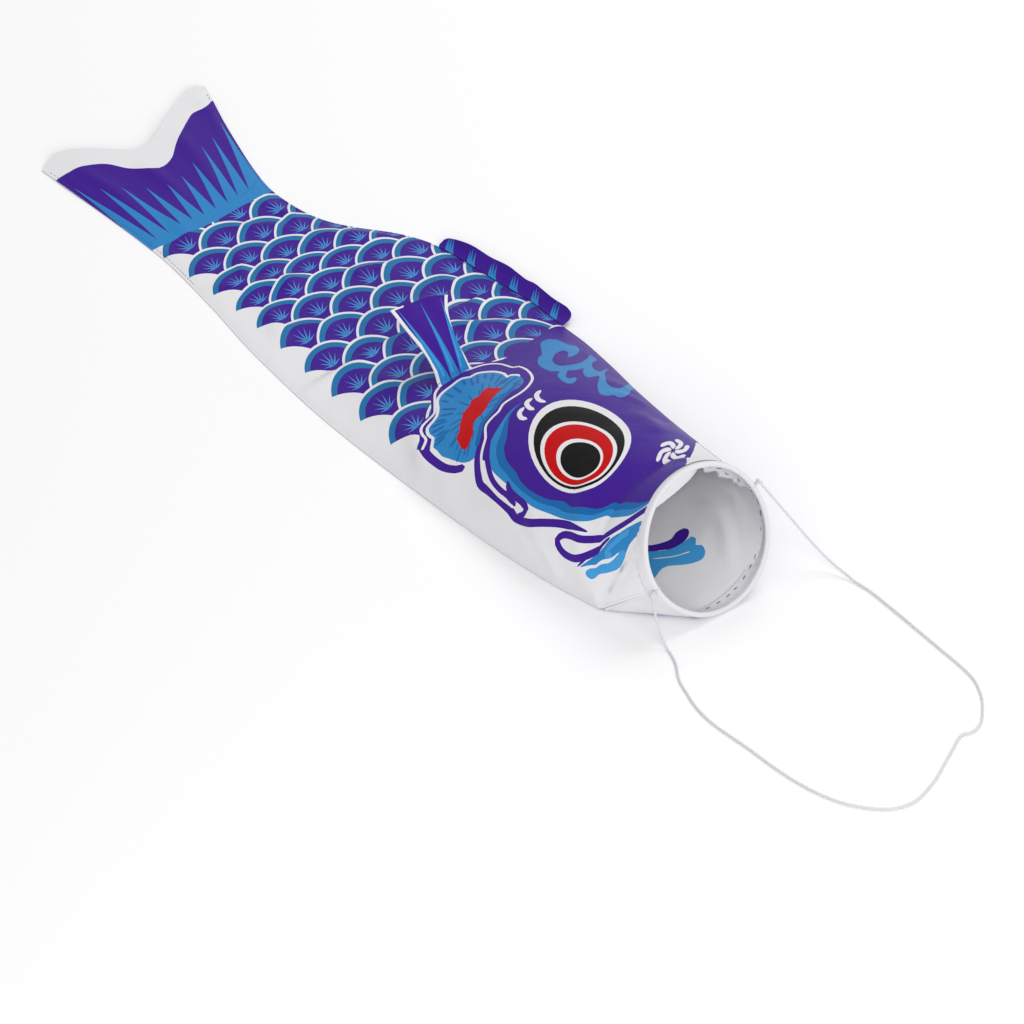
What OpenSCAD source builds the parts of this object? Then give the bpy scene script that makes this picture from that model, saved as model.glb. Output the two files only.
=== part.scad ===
// Carp streamer (windsock fish) lying on its left side, with its mouth hoop propped open.
// +X points to the mouth, +Y to the back edge of the fish, +Z up. Millimetres.
// The cloth is a flat tube of two panels. A place on a panel is given by its distance s behind
// the mouth and its share q of the way across, from the belly seam at 0 to the back seam at 1.

/* [Body] */
// Length from the mouth wire to the tail tips
body_length = 696; // [680:1:712]
// Thickness of one layer of cloth, with its sewn edges averaged in
cloth = 0.7; // [0.5:0.05:0.8]
// Gap between cloth pieces where the streamer bends
bend_gap = 8; // [7:0.5:12]
// Distance from the mouth to the bend behind the dorsal fin
bend_s = 465; // [460:1:480]
// Distance from the mouth to the bend at the root of the tail
tail_s = 580; // [570:1:600]

/* [Mouth] */
// Radius of the mouth over its cloth
mouth_r = 56; // [50:0.5:58]
// Lean of the mouth hoop back over the body, in degrees
mouth_lean = 23.5; // [15:0.5:26]
// Diameter of the hoop wire
wire_d = 2.4; // [2:0.1:2.5]
// Width of the hem behind the wire
hem_width = 7.5; // [6:0.5:9]
// Number of stitches round the hem
stitch_count = 30; // [20:1:40]

/* [Fins] */
// Length of each pectoral fin
pectoral_length = 63; // [45:1:70]
// Width of a pectoral fin at its sewn base
pectoral_base = 30; // [20:1:36]
// Width of a pectoral fin at its free end
pectoral_end = 48; // [34:1:56]
// Angle at which the right pectoral fin stands up
pectoral_rise = 32; // [20:1:60]
// Height of the dorsal fin above the back seam
dorsal_height = 18; // [10:1:22]
// Angle at which the dorsal fin stands up
dorsal_rise = 40; // [10:1:60]

/* [Bridle] */
// Width of the bridle cord
cord_d = 2; // [1.5:0.1:2]
// Diameter of each tie knot
knot_d = 5; // [4:0.1:5]

/* [Hidden] */

// Colours
purple = [0.27, 0.17, 0.52];
white = [0.93, 0.93, 0.95];
grey = [0.6, 0.6, 0.62];

// Layers of cloth: the upper panel's outer face stands two layers and an air gap over the floor
layer_gap = 0.2;
stack = 2 * cloth + layer_gap;
seam_inset = 0.004;
loft = 0.0012;

// Mouth wire: its centre line is a leaning circle that rests on the floor through the hem.
// foot is the floor point near the mouth that the outlines and the cord's route are measured from;
// its place puts the origin under the middle of the fish, its cord left out.
hem_cloth = 0.4;
pocket_r = 2;
wire_ring_r = mouth_r - pocket_r;
foot = [349.2, -42.9, 0];
mouth_centre = foot + [-16, 13, pocket_r + wire_ring_r * cos(mouth_lean)];
belly_tie = 198;
back_tie = 20.7;
crease = 151;

// The belly fold comes to a corner on the floor just behind the mouth
corner_s = 58;
corner = foot + [-52, -55, 0];
// The back seam comes down to the floor here, and its two edges are fully apart sooner
back_landing_s = 330;
edge_spread_s = 222;
// The mouth's backward lean has gone from the cloth here
lean_fade_s = 150;
// Power that holds the left panel on the floor until it is close to the back seam
floor_hold = 6;
// The belly seam slips back this far, over this length of cloth
belly_slip = 10;
belly_slip_s = 300;

// Edges of the flattened fish, as [distance behind the mouth, distance across from the foot]
belly_edge = [[58, -55], [110, -63], [180, -67], [330, -65], [430, -54], [500, -41], [570, -32], [714, -33]];
back_edge = [[0, 64.2], [60, 67.3], [110, 74], [150, 81.5], [180, 88.5], [222, 101], [260, 117], [300, 131],
    [345, 137], [380, 134], [447, 127], [474, 115.5], [500, 96.5], [520, 85], [545, 79], [580, 79.6],
    [640, 98], [714, 126]];
// The back seam is held up by the hoop: its height as a share of the hoop's tie, and its shift forwards
back_height = [[0, 1], [60, 0.95], [110, 0.845], [150, 0.73], [180, 0.63], [222, 0.46], [260, 0.27],
    [300, 0.085], [322, 0.015], [345, 0], [400, 0], [720, 0]];
back_shift = [[0, -19.5], [60, 3.7], [110, 18], [150, 26], [200, 31.5], [222, 31], [260, 19], [300, 6],
    [322, 1], [345, 0], [400, 0], [720, 0]];
// Width of one panel along its cloth, as [distance behind the mouth, width]
panel_width = [[0, 173.5], [110, 186], [222, 199.5], [300, 204.5], [340, 203.8], [360, 200.3], [380, 194],
    [400, 170], [440, 100], [714, 60]];
// Trailing edge of the tail, as [share across, distance behind the mouth]
tail_edge = [[0, 1], [0.12, 1.008], [0.28, 0.986], [0.44, 0.961], [0.54, 0.96], [0.68, 0.975],
    [0.84, 0.998], [0.94, 1.004], [1, 0.999]];

// Route of the bridle cord's centre line from the belly tie to the back tie, measured from the foot
bridle_route = [[-7, -44, 32], [-2, -46, 22], [5, -47, 10], [13, -48, 2], [21, -50, 1], [32, -55, 1],
    [46, -64, 1], [62, -70, 1], [78, -75, 1], [100, -78, 1], [136, -77, 1], [165, -77, 1], [192, -75, 1],
    [216, -70, 1], [234, -62, 1], [250, -49, 1], [257, -36, 1], [257, -21, 1], [249, 0, 1], [240, 16, 1],
    [230, 33, 1], [224, 43, 1], [222, 49, 1], [224, 56, 1], [222, 64, 1], [217, 71, 1], [206, 81, 1],
    [196, 88, 1], [181, 95, 1], [166, 98, 1], [140, 100, 1], [110, 102, 1], [80, 104, 1], [56, 105, 1],
    [42, 104, 1], [30, 103, 3], [16, 100, 8], [2, 95, 19], [-10, 87, 36], [-18, 77, 55], [-23, 70, 68]];
cord_sides = 8;
cord_rings = 79;
cord_gap = 0.05;

// Middles of the pectoral fins' bases; the right one stands over its panel
right_fin_root = foot + [-297, 16.5, 0];
left_fin_root = foot + [-310, 27.3, 0];
fin_rise_gap = 1.2;
// Share across the right panel at its fin's root, and its gain for each millimetre across
fin_share = 0.43;
share_per_mm = 0.0049;
fin_stitch_lift = 0.6;
// Pocket in the left panel that the left pectoral fin lies in
pocket_lift = 1.8;
pocket_half = 40;
pocket_slope = 14;

// Angle round the mouth that the wire's sleeve covers, and the gaps outside and inside it
sleeve_turn = 16;
sleeve_gap = 0.15;
wire_gap = 0.04;
knot_gap = 0.4;
$fn = 48;

function clamp01(t) = min(1, max(0, t));
function ease(t) = let (k = clamp01(t)) k * k * (3 - 2 * k);
function mix(a, b, t) = a + (b - a) * t;
function unit(v) = v / norm(v);

// Smooth curve through a list of [position, value] points
function slope_at(p, k) = let (n = len(p) - 1, a = p[max(0, k - 1)], b = p[min(n, k + 1)])
    (b[1] - a[1]) / (b[0] - a[0]);
function last_before(p, x, k) = k == 0 || p[k][0] <= x ? k : last_before(p, x, k - 1);
function curve_at(p, x) =
    let (
        k = last_before(p, x, len(p) - 2), d = p[k + 1][0] - p[k][0], t = (x - p[k][0]) / d,
        m0 = slope_at(p, k) * d, m1 = slope_at(p, k + 1) * d
    )
    (2 * t ^ 3 - 3 * t ^ 2 + 1) * p[k][1] + (t ^ 3 - 2 * t ^ 2 + t) * m0
    + (3 * t ^ 2 - 2 * t ^ 3) * p[k + 1][1] + (t ^ 3 - t ^ 2) * m1;

// A point at an angle round the mouth, seen from in front: 0 is the back side and 90 the top
function round_mouth(angle, r = mouth_r) = mouth_centre + r * [
    -sin(angle) * sin(mouth_lean), cos(angle), sin(angle) * cos(mouth_lean)];

// Seam lines where they lie
function belly_line(s) =
    s < corner_s ? mix(round_mouth(belly_tie), corner, s / corner_s)
    : [corner[0] + corner_s - s - belly_slip * ease((s - corner_s) / belly_slip_s),
        foot[1] + curve_at(belly_edge, s), 0];
function back_line(s) =
    [corner[0] + corner_s - belly_slip - s + curve_at(back_shift, s), foot[1] + curve_at(back_edge, s),
        round_mouth(back_tie)[2] * max(0, curve_at(back_height, s))];

// Right panel, uppermost: a flat facet from the corner to the mouth, then an arch held by its width.
// half is half the angle of the arc whose chord falls short of it by slack, from the arc's series.
function facet_share(s) = (belly_tie - crease) / (belly_tie - back_tie) * max(0, 1 - s / corner_s);
function right_side(s, q) =
    let (top = facet_share(s), near = 1 - s / corner_s, tip = corner + [0, 0, stack])
    q < top ? mix(tip, round_mouth(belly_tie - (belly_tie - back_tie) * q / near), near)
    : let (
        f = (q - top) / (1 - top),
        a = s < corner_s ? mix(tip, round_mouth(crease), near) : belly_line(s) + [0, 0, stack],
        b = back_line(s) + [0, 0, stack * ease(s / edge_spread_s)],
        chord = norm(b - a), along = (b - a) / chord,
        slack = 1 - min(chord / (curve_at(panel_width, s) * (1 - top)), 1 - loft),
        half = sqrt(6 * slack + 1.8 * slack ^ 2) * 180 / PI,
        lean = mouth_lean * max(0, 1 - s / lean_fade_s), up = [-sin(lean), 0, cos(lean)],
        out = unit(up - along * (up * along)), turn = half * (2 * f - 1)
    )
    a + chord / 2 * ((1 + sin(turn) / sin(half)) * along + (cos(turn) - cos(half)) / sin(half) * out);

// Left panel, underneath: the facet's lower part, then the floor, then up to the back seam
function left_side(s, q) =
    let (
        near = max(0, 1 - s / corner_s), sweep = 360 + back_tie - belly_tie,
        low = (270 - belly_tie) / sweep * near
    )
    q < low ? mix(corner, round_mouth(belly_tie + sweep * q / near), near)
    : let (
        f = (q - low) / (1 - low),
        a = s < corner_s ? mix(corner, round_mouth(270), near) : belly_line(s), b = back_line(s),
        turn = 270 + (90 + back_tie) * f, flat = ease(s / back_landing_s),
        across = mix(cos(turn) / cos(back_tie), f, flat),
        rise = mix((1 + sin(turn)) / (1 + sin(back_tie)), f ^ floor_hold, flat),
        x = mix(a[0], b[0], rise), y = mix(a[1], b[1], across),
        dx = x - left_fin_root[0], dy = y - left_fin_root[1],
        hump = ease((pocket_slope + 2 - dx) / pocket_slope) * ease((pocket_half - abs(dy)) / pocket_slope)
            * ease((dx + pectoral_length + pocket_slope + 2) / pocket_slope)
    )
    [x, y, mix(a[2], b[2], rise) + pocket_lift * hump];

function side_point(right, s, q) = right ? right_side(s, q) : left_side(s, q);

// The inner face lies one thickness inside the outer face
function inward(right, s, q) =
    let (
        ds = side_point(right, s + 1, q) - side_point(right, s - 1, q),
        dq = side_point(right, s, min(1, q + 0.01)) - side_point(right, s, max(0, q - 0.01))
    )
    unit(right ? cross(ds, dq) : cross(dq, ds));

function tail_end(q) = body_length * curve_at(tail_edge, q);

// A sheet of cloth between two distances behind the mouth, as one closed skin
module cloth_panel(right, from_s, to_s, rows, columns, notched = false) {
    function s_at(i, q) = mix(from_s, notched ? tail_end(q) : to_s, i / rows);
    function q_at(j) = mix(seam_inset, 1 - seam_inset, j / columns);
    grid = [for (i = [0:rows], j = [0:columns]) let (q = q_at(j)) [s_at(i, q), q]];
    outer = [for (g = grid) side_point(right, g[0], g[1])];
    inner = [for (k = [0:len(grid) - 1]) outer[k] + cloth * inward(right, grid[k][0], grid[k][1])];
    n = len(grid);
    w = columns + 1;
    function quad(a, b, c, d) = right ? [[a, b, c], [a, c, d]] : [[a, c, b], [a, d, c]];
    faces = [
        for (i = [0:rows - 1], j = [0:columns - 1]) let (a = i * w + j)
            each concat(quad(a, a + w, a + w + 1, a + 1), quad(n + a, n + a + 1, n + a + w + 1, n + a + w)),
        for (j = [0:columns - 1]) each concat(
            quad(j, j + 1, n + j + 1, n + j),
            quad(rows * w + j + 1, rows * w + j, n + rows * w + j, n + rows * w + j + 1)),
        for (i = [0:rows - 1]) each concat(
            quad(i * w + w, i * w, n + i * w, n + i * w + w),
            quad(i * w + columns, i * w + w + columns, n + i * w + w + columns, n + i * w + columns))
    ];
    polyhedron(points = concat(outer, inner), faces = faces, convexity = 10);
}

// A tube swept along a list of points, with frames kept level
module tube(path, r, sides) {
    last = len(path) - 1;
    function heading(k) = unit(path[min(last, k + 1)] - path[max(0, k - 1)]);
    points = [
        for (k = [0:last]) let (d = heading(k), side = unit(cross(d, [0, 0, 1] + 0.001 * [1, 1, 0])),
            up = cross(side, d))
            for (j = [0:sides - 1]) let (a = 360 * (j + 0.5) / sides) path[k] + r * (cos(a) * side + sin(a) * up)
    ];
    faces = [
        for (k = [0:last - 1], j = [0:sides - 1])
            let (a = k * sides + j, b = k * sides + (j + 1) % sides)
            each [[a, a + sides, b + sides], [a, b + sides, b]],
        for (j = [1:sides - 2]) each [[0, j, j + 1], [last * sides, last * sides + j + 1, last * sides + j]]
    ];
    polyhedron(points = points, faces = faces, convexity = 10);
}

// Sewing thread along a seam, between the panels' edges
thread_r = 0.25;
thread_step = 9;
module seam_thread(back, from_s, to_s) {
    steps = ceil((to_s - from_s) / thread_step);
    path = [for (k = [0:steps]) let (s = mix(from_s, to_s, k / steps), p = back ? back_line(s) : belly_line(s))
        [p[0], p[1] + (back ? thread_r : -thread_r), max(p[2], cloth + layer_gap / 2)]];
    tube(path, thread_r, 6);
}

// Places where each stretch of cloth begins and ends
front_start = hem_width + bend_gap;
front_end = bend_s - bend_gap / 2;
rear_start = bend_s + bend_gap / 2;
rear_end = tail_s - bend_gap / 2;
tail_start = tail_s + bend_gap / 2;

module right_panel_front() { color(purple) cloth_panel(true, front_start, front_end, 26, 22); }
module left_panel_front() { color(purple) cloth_panel(false, front_start, front_end, 26, 22); }
module right_panel_rear() { color(purple) cloth_panel(true, rear_start, rear_end, 8, 16); }
module left_panel_rear() { color(purple) cloth_panel(false, rear_start, rear_end, 8, 12); }
module right_tail() { color(purple) cloth_panel(true, tail_start, body_length, 8, 20, true); }
module left_tail() { color(purple) cloth_panel(false, tail_start, body_length, 8, 20, true); }

// Local frame of the hem round the wire: [wire centre, backwards along the cloth, inwards]
function hem_frame(angle) =
    let (
        c = round_mouth(angle, wire_ring_r), from_belly = (angle - back_tie) < (belly_tie - back_tie),
        q = from_belly ? (belly_tie - angle) / (belly_tie - back_tie)
            : (angle - belly_tie) / (360 + back_tie - belly_tie),
        along = side_point(from_belly, front_start, q) - side_point(from_belly, 0, q),
        to_centre = unit(mouth_centre - c), tangent = cross([cos(mouth_lean), 0, sin(mouth_lean)], to_centre),
        back = unit(along - tangent * (along * tangent)),
        inwards = unit(to_centre - back * (to_centre * back))
    )
    [c, back, inwards];

// Hem: cloth wrapped round the wire and laid back on itself, with the turned edge left open
hem_stations = 48;
hem_lip = 1.5;
module mouth_hem() {
    arc_from = 60;
    arc_steps = 10;
    turned = pocket_r - 2 * hem_cloth - layer_gap / 2;
    outside = cos((270 - arc_from) / arc_steps / 2);
    profile = concat(
        [[hem_width, -pocket_r]],
        [for (k = [arc_steps:-1:0]) let (a = mix(arc_from, 270, k / arc_steps)) pocket_r * [cos(a), sin(a)]],
        [[hem_width - hem_lip, -turned], [hem_width, -turned], [hem_width, -turned - hem_cloth],
            [hem_width - hem_lip, -turned - hem_cloth]],
        [for (k = [0:arc_steps]) let (a = mix(arc_from, 270, k / arc_steps))
            (pocket_r - hem_cloth) / outside * [cos(a), sin(a)]],
        [[hem_width, -pocket_r + hem_cloth]]);
    n = len(profile);
    points = [for (k = [0:hem_stations - 1]) let (f = hem_frame(back_tie + 360 * k / hem_stations))
        for (p = profile) f[0] + p[0] * f[1] + p[1] * f[2]];
    total = n * hem_stations;
    faces = [for (k = [0:hem_stations - 1], j = [0:n - 1])
        let (a = k * n + j, b = k * n + (j + 1) % n, c = (b + n) % total, d = (a + n) % total)
        each [[a, b, c], [a, c, d]]];
    color(white) polyhedron(points = points, faces = faces, convexity = 10);
}

// Turns a ring about Z into the plane of the mouth, with its 0 angle at the back side
module in_mouth_plane() {
    translate(mouth_centre) rotate([0, -mouth_lean, 0]) rotate([90, 0, 90]) children();
}

// Wire hoop, open for 2 degrees inside its joining sleeve at the foot of the mouth
module mouth_hoop() {
    color(grey) in_mouth_plane() rotate([0, 0, 271]) rotate_extrude(angle = 358)
        translate([wire_ring_r, 0]) circle(d = wire_d);
}

// Sleeve that joins the two ends of the wire
module hoop_sleeve() {
    color(white) in_mouth_plane() rotate([0, 0, 270 - sleeve_turn / 2]) rotate_extrude(angle = sleeve_turn)
        translate([wire_ring_r, 0]) difference() {
            circle(r = pocket_r - hem_cloth - sleeve_gap);
            circle(r = wire_d / 2 + wire_gap);
        }
}

// Running stitches of dark thread on the inner face of the hem
stitch_length = 4;
stitch_r = 0.3;
stitch_lift = 0.55;
stitch_inset = 0.8;
module hem_stitches() {
    color(purple) for (k = [0:stitch_count - 1]) {
        angle = back_tie + 360 * (k + 0.5) / stitch_count;
        f = hem_frame(angle);
        along = unit(cross(f[1], f[2]));
        inset = 2 * hem_cloth - pocket_r + stitch_r + stitch_lift;
        place = f[0] + (hem_width - stitch_inset) * f[1] + inset * f[2];
        multmatrix([for (r = [0:2]) [f[1][r], f[2][r], along[r], place[r]]])
            cylinder(r = stitch_r, h = stitch_length, center = true, $fn = 16);
    }
}

module tie_knot(angle) {
    color(white) translate(round_mouth(angle, mouth_r + knot_d / 2 + knot_gap)) sphere(d = knot_d);
}
module belly_tie_knot() { tie_knot(belly_tie); }
module back_tie_knot() { tie_knot(back_tie); }

// Bridle: the route is rounded by a curve through its points, then cut into even rings
function route_point(t) =
    let (n = len(bridle_route) - 1, k = min(n - 1, floor(t)), u = t - k,
        p0 = bridle_route[max(0, k - 1)], p1 = bridle_route[k], p2 = bridle_route[k + 1],
        p3 = bridle_route[min(n, k + 2)])
    0.5 * (2 * p1 + (p2 - p0) * u + (2 * p0 - 5 * p1 + 4 * p2 - p3) * u ^ 2
        + (3 * p1 - p0 - 3 * p2 + p3) * u ^ 3);
module bridle_cord() {
    path = [for (k = [0:cord_rings]) let (p = foot + route_point(k * (len(bridle_route) - 1) / cord_rings))
        [p[0], p[1], max(p[2], cord_d / 2 + cord_gap)]];
    color(white) tube(path, cord_d / 2, cord_sides);
}

// Dorsal fin: a doubled strip with its base along the back seam
dorsal_from = [foot[0] - 447, foot[1] + 131.3];
dorsal_to = [foot[0] - 318, foot[1] + 141.7];
module dorsal_fin() {
    run = dorsal_to - dorsal_from;
    length = norm(run);
    thick = 2 * cloth;
    color(purple) translate([dorsal_from[0], dorsal_from[1], cloth + layer_gap / 2])
        rotate([0, 0, atan2(run[1], run[0])]) rotate([dorsal_rise, 0, 0])
            translate([0, 0, -thick / 2]) linear_extrude(thick)
                polygon([[0, 0], [length, 0], [length - 14, dorsal_height],
                    [length * 0.55, dorsal_height * 0.9], [length * 0.2, dorsal_height * 0.75],
                    [-4, dorsal_height * 0.35]]);
}

// Pectoral fin outline, from its base at X = 0 towards the tail
module pectoral_outline(sweep) {
    polygon([[-1, -pectoral_base / 2], [-1, pectoral_base / 2],
        [1 - pectoral_length * 0.86, sweep + pectoral_end / 2], [-pectoral_length, sweep - pectoral_end / 2]]);
}
// Height of the right panel's outer face a little way across or along from the fin's root
function fin_seat(along, across) =
    right_side(foot[0] - right_fin_root[0] - 1 - along, fin_share + share_per_mm * across)[2];
fin_root_z = max([for (k = [-5:5]) fin_seat(0, k * pectoral_base / 10)]);
module right_pectoral_fin() {
    thick = 2 * cloth;
    color(purple) translate(right_fin_root + [0, 0, fin_root_z + fin_rise_gap])
        rotate([0, pectoral_rise, 0]) translate([0, 0, -thick / 2])
            linear_extrude(thick) pectoral_outline(9);
}
module left_pectoral_fin() {
    color(purple) translate(left_fin_root) linear_extrude(stack - 2 * layer_gap) pectoral_outline(0);
}

// Stitches that hold a pectoral fin's base to its panel
fin_stitches = 7;
stitch_pitch = (pectoral_base - 2) / fin_stitches;
function stitch_y(k) = stitch_pitch * (k - (fin_stitches - 1) / 2);
module fin_stitch() {
    color(purple) rotate([90, 0, 0]) cylinder(r = 0.25, h = stitch_pitch * 0.6, center = true, $fn = 16);
}
module right_fin_stitches() {
    for (k = [0:fin_stitches - 1])
        translate(right_fin_root + [1, stitch_y(k), fin_seat(1, stitch_y(k)) + fin_stitch_lift]) fin_stitch();
}
module left_fin_stitches() {
    for (k = [0:fin_stitches - 1])
        translate(left_fin_root + [1, stitch_y(k), pocket_lift - fin_stitch_lift]) fin_stitch();
}

module belly_thread_front() { color(white) seam_thread(false, front_start, front_end); }
module belly_thread_rear() { color(white) seam_thread(false, rear_start, rear_end); }
module belly_thread_tail() { color(white) seam_thread(false, tail_start, tail_end(0)); }
module back_thread_front() { color(white) seam_thread(true, front_start, front_end); }
module back_thread_rear() { color(white) seam_thread(true, rear_start, rear_end); }
module back_thread_tail() { color(white) seam_thread(true, tail_start, tail_end(1)); }

right_panel_front();
left_panel_front();
right_panel_rear();
left_panel_rear();
right_tail();
left_tail();
mouth_hem();
mouth_hoop();
hoop_sleeve();
hem_stitches();
belly_tie_knot();
back_tie_knot();
bridle_cord();
dorsal_fin();
right_pectoral_fin();
left_pectoral_fin();
right_fin_stitches();
left_fin_stitches();
belly_thread_front();
belly_thread_rear();
belly_thread_tail();
back_thread_front();
back_thread_rear();
back_thread_tail();
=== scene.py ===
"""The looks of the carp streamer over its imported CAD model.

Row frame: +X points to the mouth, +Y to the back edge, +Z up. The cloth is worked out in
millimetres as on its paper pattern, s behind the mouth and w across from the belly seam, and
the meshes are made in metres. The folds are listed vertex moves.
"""
import math
import random

import bpy
import numpy as np
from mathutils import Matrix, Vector
from mathutils.geometry import delaunay_2d_cdt


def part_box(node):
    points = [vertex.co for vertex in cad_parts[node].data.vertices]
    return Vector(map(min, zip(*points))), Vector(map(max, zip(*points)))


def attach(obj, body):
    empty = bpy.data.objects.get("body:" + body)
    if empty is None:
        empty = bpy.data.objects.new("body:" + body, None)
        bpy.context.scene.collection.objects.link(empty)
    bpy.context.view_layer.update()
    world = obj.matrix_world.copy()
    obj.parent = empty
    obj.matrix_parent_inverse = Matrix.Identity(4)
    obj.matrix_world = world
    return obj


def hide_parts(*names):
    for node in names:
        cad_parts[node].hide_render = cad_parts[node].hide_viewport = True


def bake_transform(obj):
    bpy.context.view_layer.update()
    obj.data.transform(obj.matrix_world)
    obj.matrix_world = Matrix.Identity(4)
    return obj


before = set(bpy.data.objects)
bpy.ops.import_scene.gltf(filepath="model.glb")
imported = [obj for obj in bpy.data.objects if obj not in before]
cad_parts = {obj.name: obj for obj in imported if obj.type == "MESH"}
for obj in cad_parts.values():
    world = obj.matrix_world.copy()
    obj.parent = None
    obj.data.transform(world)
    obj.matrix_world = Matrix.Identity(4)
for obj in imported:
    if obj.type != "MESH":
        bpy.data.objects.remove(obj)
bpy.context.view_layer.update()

MM = 0.001
FOOT = np.array([349.2, -42.9, 0.0])
FOOT_M = FOOT * MM
rng = random.Random(11)

# ---- camera
AIM = Vector((0.1706, -0.0728, 0.0))
AZIMUTH, ELEVATION = math.radians(50), math.radians(38)
CAMERA_DISTANCE = 28.0
PICTURE_WIDTH = 0.727
SENSOR = 36.0

toward = Vector((-math.sin(AZIMUTH) * math.cos(ELEVATION),
                 math.cos(AZIMUTH) * math.cos(ELEVATION), -math.sin(ELEVATION)))
lens = bpy.data.cameras.new("camera")
lens.sensor_width = SENSOR
lens.lens = SENSOR * CAMERA_DISTANCE / PICTURE_WIDTH
lens.clip_end = 400
camera = bpy.data.objects.new("camera", lens)
camera.location = AIM - toward * CAMERA_DISTANCE
camera.rotation_euler = toward.to_track_quat("-Z", "Y").to_euler()
bpy.context.collection.objects.link(camera)
bpy.context.scene.camera = camera

# ---- small maths


def unit(v):
    v = np.asarray(v, float)
    return v / np.maximum(np.linalg.norm(v, axis=-1, keepdims=True), 1e-12)


def ease(t):
    k = np.clip(t, 0, 1)
    return k * k * (3 - 2 * k)


def mix(a, b, t):
    return a + (b - a) * t


def stack_xyz(*parts):
    return np.stack(np.broadcast_arrays(*parts), -1)


def curve_at(points, x):
    """Smooth curve through a list of (position, value) points."""
    p = np.array(points, float)
    x = np.asarray(x, float)
    n = len(p) - 1
    k = np.clip(np.searchsorted(p[:, 0], x, side="right") - 1, 0, n - 1)
    low, high = np.maximum(np.arange(n + 1) - 1, 0), np.minimum(np.arange(n + 1) + 1, n)
    slope = (p[high, 1] - p[low, 1]) / (p[high, 0] - p[low, 0])
    d = p[k + 1, 0] - p[k, 0]
    t = (x - p[k, 0]) / d
    m0, m1 = slope[k] * d, slope[k + 1] * d
    return ((2 * t**3 - 3 * t**2 + 1) * p[k, 1] + (t**3 - 2 * t**2 + t) * m0
            + (3 * t**2 - 2 * t**3) * p[k + 1, 1] + (t**3 - t**2) * m1)


def smooth_line(points, step, closed=False):
    """Even points along a smooth curve through the given ones."""
    p = np.array(points, float)
    n = len(p)
    out = []
    for k in range(n if closed else n - 1):
        if closed:
            a, b, c, d = p[(k - 1) % n], p[k], p[(k + 1) % n], p[(k + 2) % n]
        else:
            a, b, c, d = p[max(k - 1, 0)], p[k], p[k + 1], p[min(k + 2, n - 1)]
        count = max(1, int(round(np.linalg.norm(c - b) / step)))
        for u in np.arange(count) / count:
            out.append(0.5 * (2 * b + (c - a) * u + (2 * a - 5 * b + 4 * c - d) * u**2
                              + (3 * b - a - 3 * c + d) * u**3))
    if not closed:
        out.append(p[-1])
    return np.array(out)


def make_mesh(name, verts, faces, materials, face_slots=None):
    """A smooth-shaded mesh object from points in metres."""
    mesh = bpy.data.meshes.new(name)
    mesh.from_pydata([tuple(map(float, v)) for v in verts], [],
                     [tuple(map(int, f)) for f in faces])
    for m in materials:
        mesh.materials.append(m)
    if face_slots is not None:
        mesh.polygons.foreach_set("material_index", [int(k) for k in face_slots])
    mesh.polygons.foreach_set("use_smooth", [True] * len(mesh.polygons))
    mesh.update()
    obj = bpy.data.objects.new(name, mesh)
    bpy.context.collection.objects.link(obj)
    return obj


def set_pattern_uv(obj, points):
    """The UV map that the weave follows, from a point in metres for each vertex."""
    uv = obj.data.uv_layers.new(name="pattern")
    corner = np.empty(len(obj.data.loops), int)
    obj.data.loops.foreach_get("vertex_index", corner)
    uv.data.foreach_set("uv", points[corner].ravel())
    return corner


def run_along(line):
    """Distance along a line of points, at each of them."""
    return np.concatenate([[0], np.cumsum(np.linalg.norm(np.diff(line, axis=0), axis=1))])


NEARLY_UP = [0.03, 0.02, 1.0]


def tube_mesh(path, radius, sides, twist=0.0, strands=0, strand_depth=0.0):
    """Verts and faces of a closed tube along points; strands press a rope's lay into it."""
    p = np.array(path, float)
    heading = unit(np.gradient(p, axis=0))
    side = unit(np.cross(heading[0], NEARLY_UP))
    run = run_along(p)
    radii = np.broadcast_to(np.asarray(radius, float), (len(p),))
    verts = []
    for k in range(len(p)):
        side = unit(side - heading[k] * np.dot(side, heading[k]))
        up = np.cross(heading[k], side)
        a = 2 * math.pi * np.arange(sides) / sides
        r = radii[k] * (1 - strand_depth * (0.5 + 0.5 * np.cos(strands * a - twist * run[k])))
        verts.append(p[k] + (r * np.cos(a))[:, None] * side + (r * np.sin(a))[:, None] * up)
    verts = np.concatenate(verts)
    faces = []
    for k in range(len(p) - 1):
        for j in range(sides):
            a, b = k * sides + j, k * sides + (j + 1) % sides
            faces.append((a, b, b + sides, a + sides))
    last = (len(p) - 1) * sides
    faces.append(tuple(range(sides - 1, -1, -1)))
    faces.append(tuple(last + j for j in range(sides)))
    return verts, faces


def joined(parts):
    """One list of verts and faces from several."""
    verts, faces, base = [], [], 0
    for v, f in parts:
        verts.append(v)
        faces += [tuple(i + base for i in face) for face in f]
        base += len(v)
    return np.concatenate(verts), faces


# ---- materials


def linear(rgb):
    shares = [c / 255 for c in rgb]
    return tuple(c / 12.92 if c <= 0.04 else ((c + 0.055) / 1.055) ** 2.4 for c in shares) + (1,)


def set_inputs(node, **values):
    """Sets a node's constants. An underscore stands for a space in a socket's name."""
    for name, value in values.items():
        node.inputs[name.replace("_", " ")].default_value = value
    return node


def new_material(name, rgb, roughness, metallic=0.0, sheen=0.0, specular=0.5):
    mat = bpy.data.materials.new(name)
    mat.use_nodes = True
    mat.diffuse_color = linear(rgb)
    shader = set_inputs(mat.node_tree.nodes["Principled BSDF"], Base_Color=linear(rgb),
                        Roughness=roughness, Metallic=metallic, Sheen_Weight=sheen,
                        Sheen_Roughness=0.35, Specular_IOR_Level=specular)
    return mat, mat.node_tree.nodes, mat.node_tree.links, shader


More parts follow.
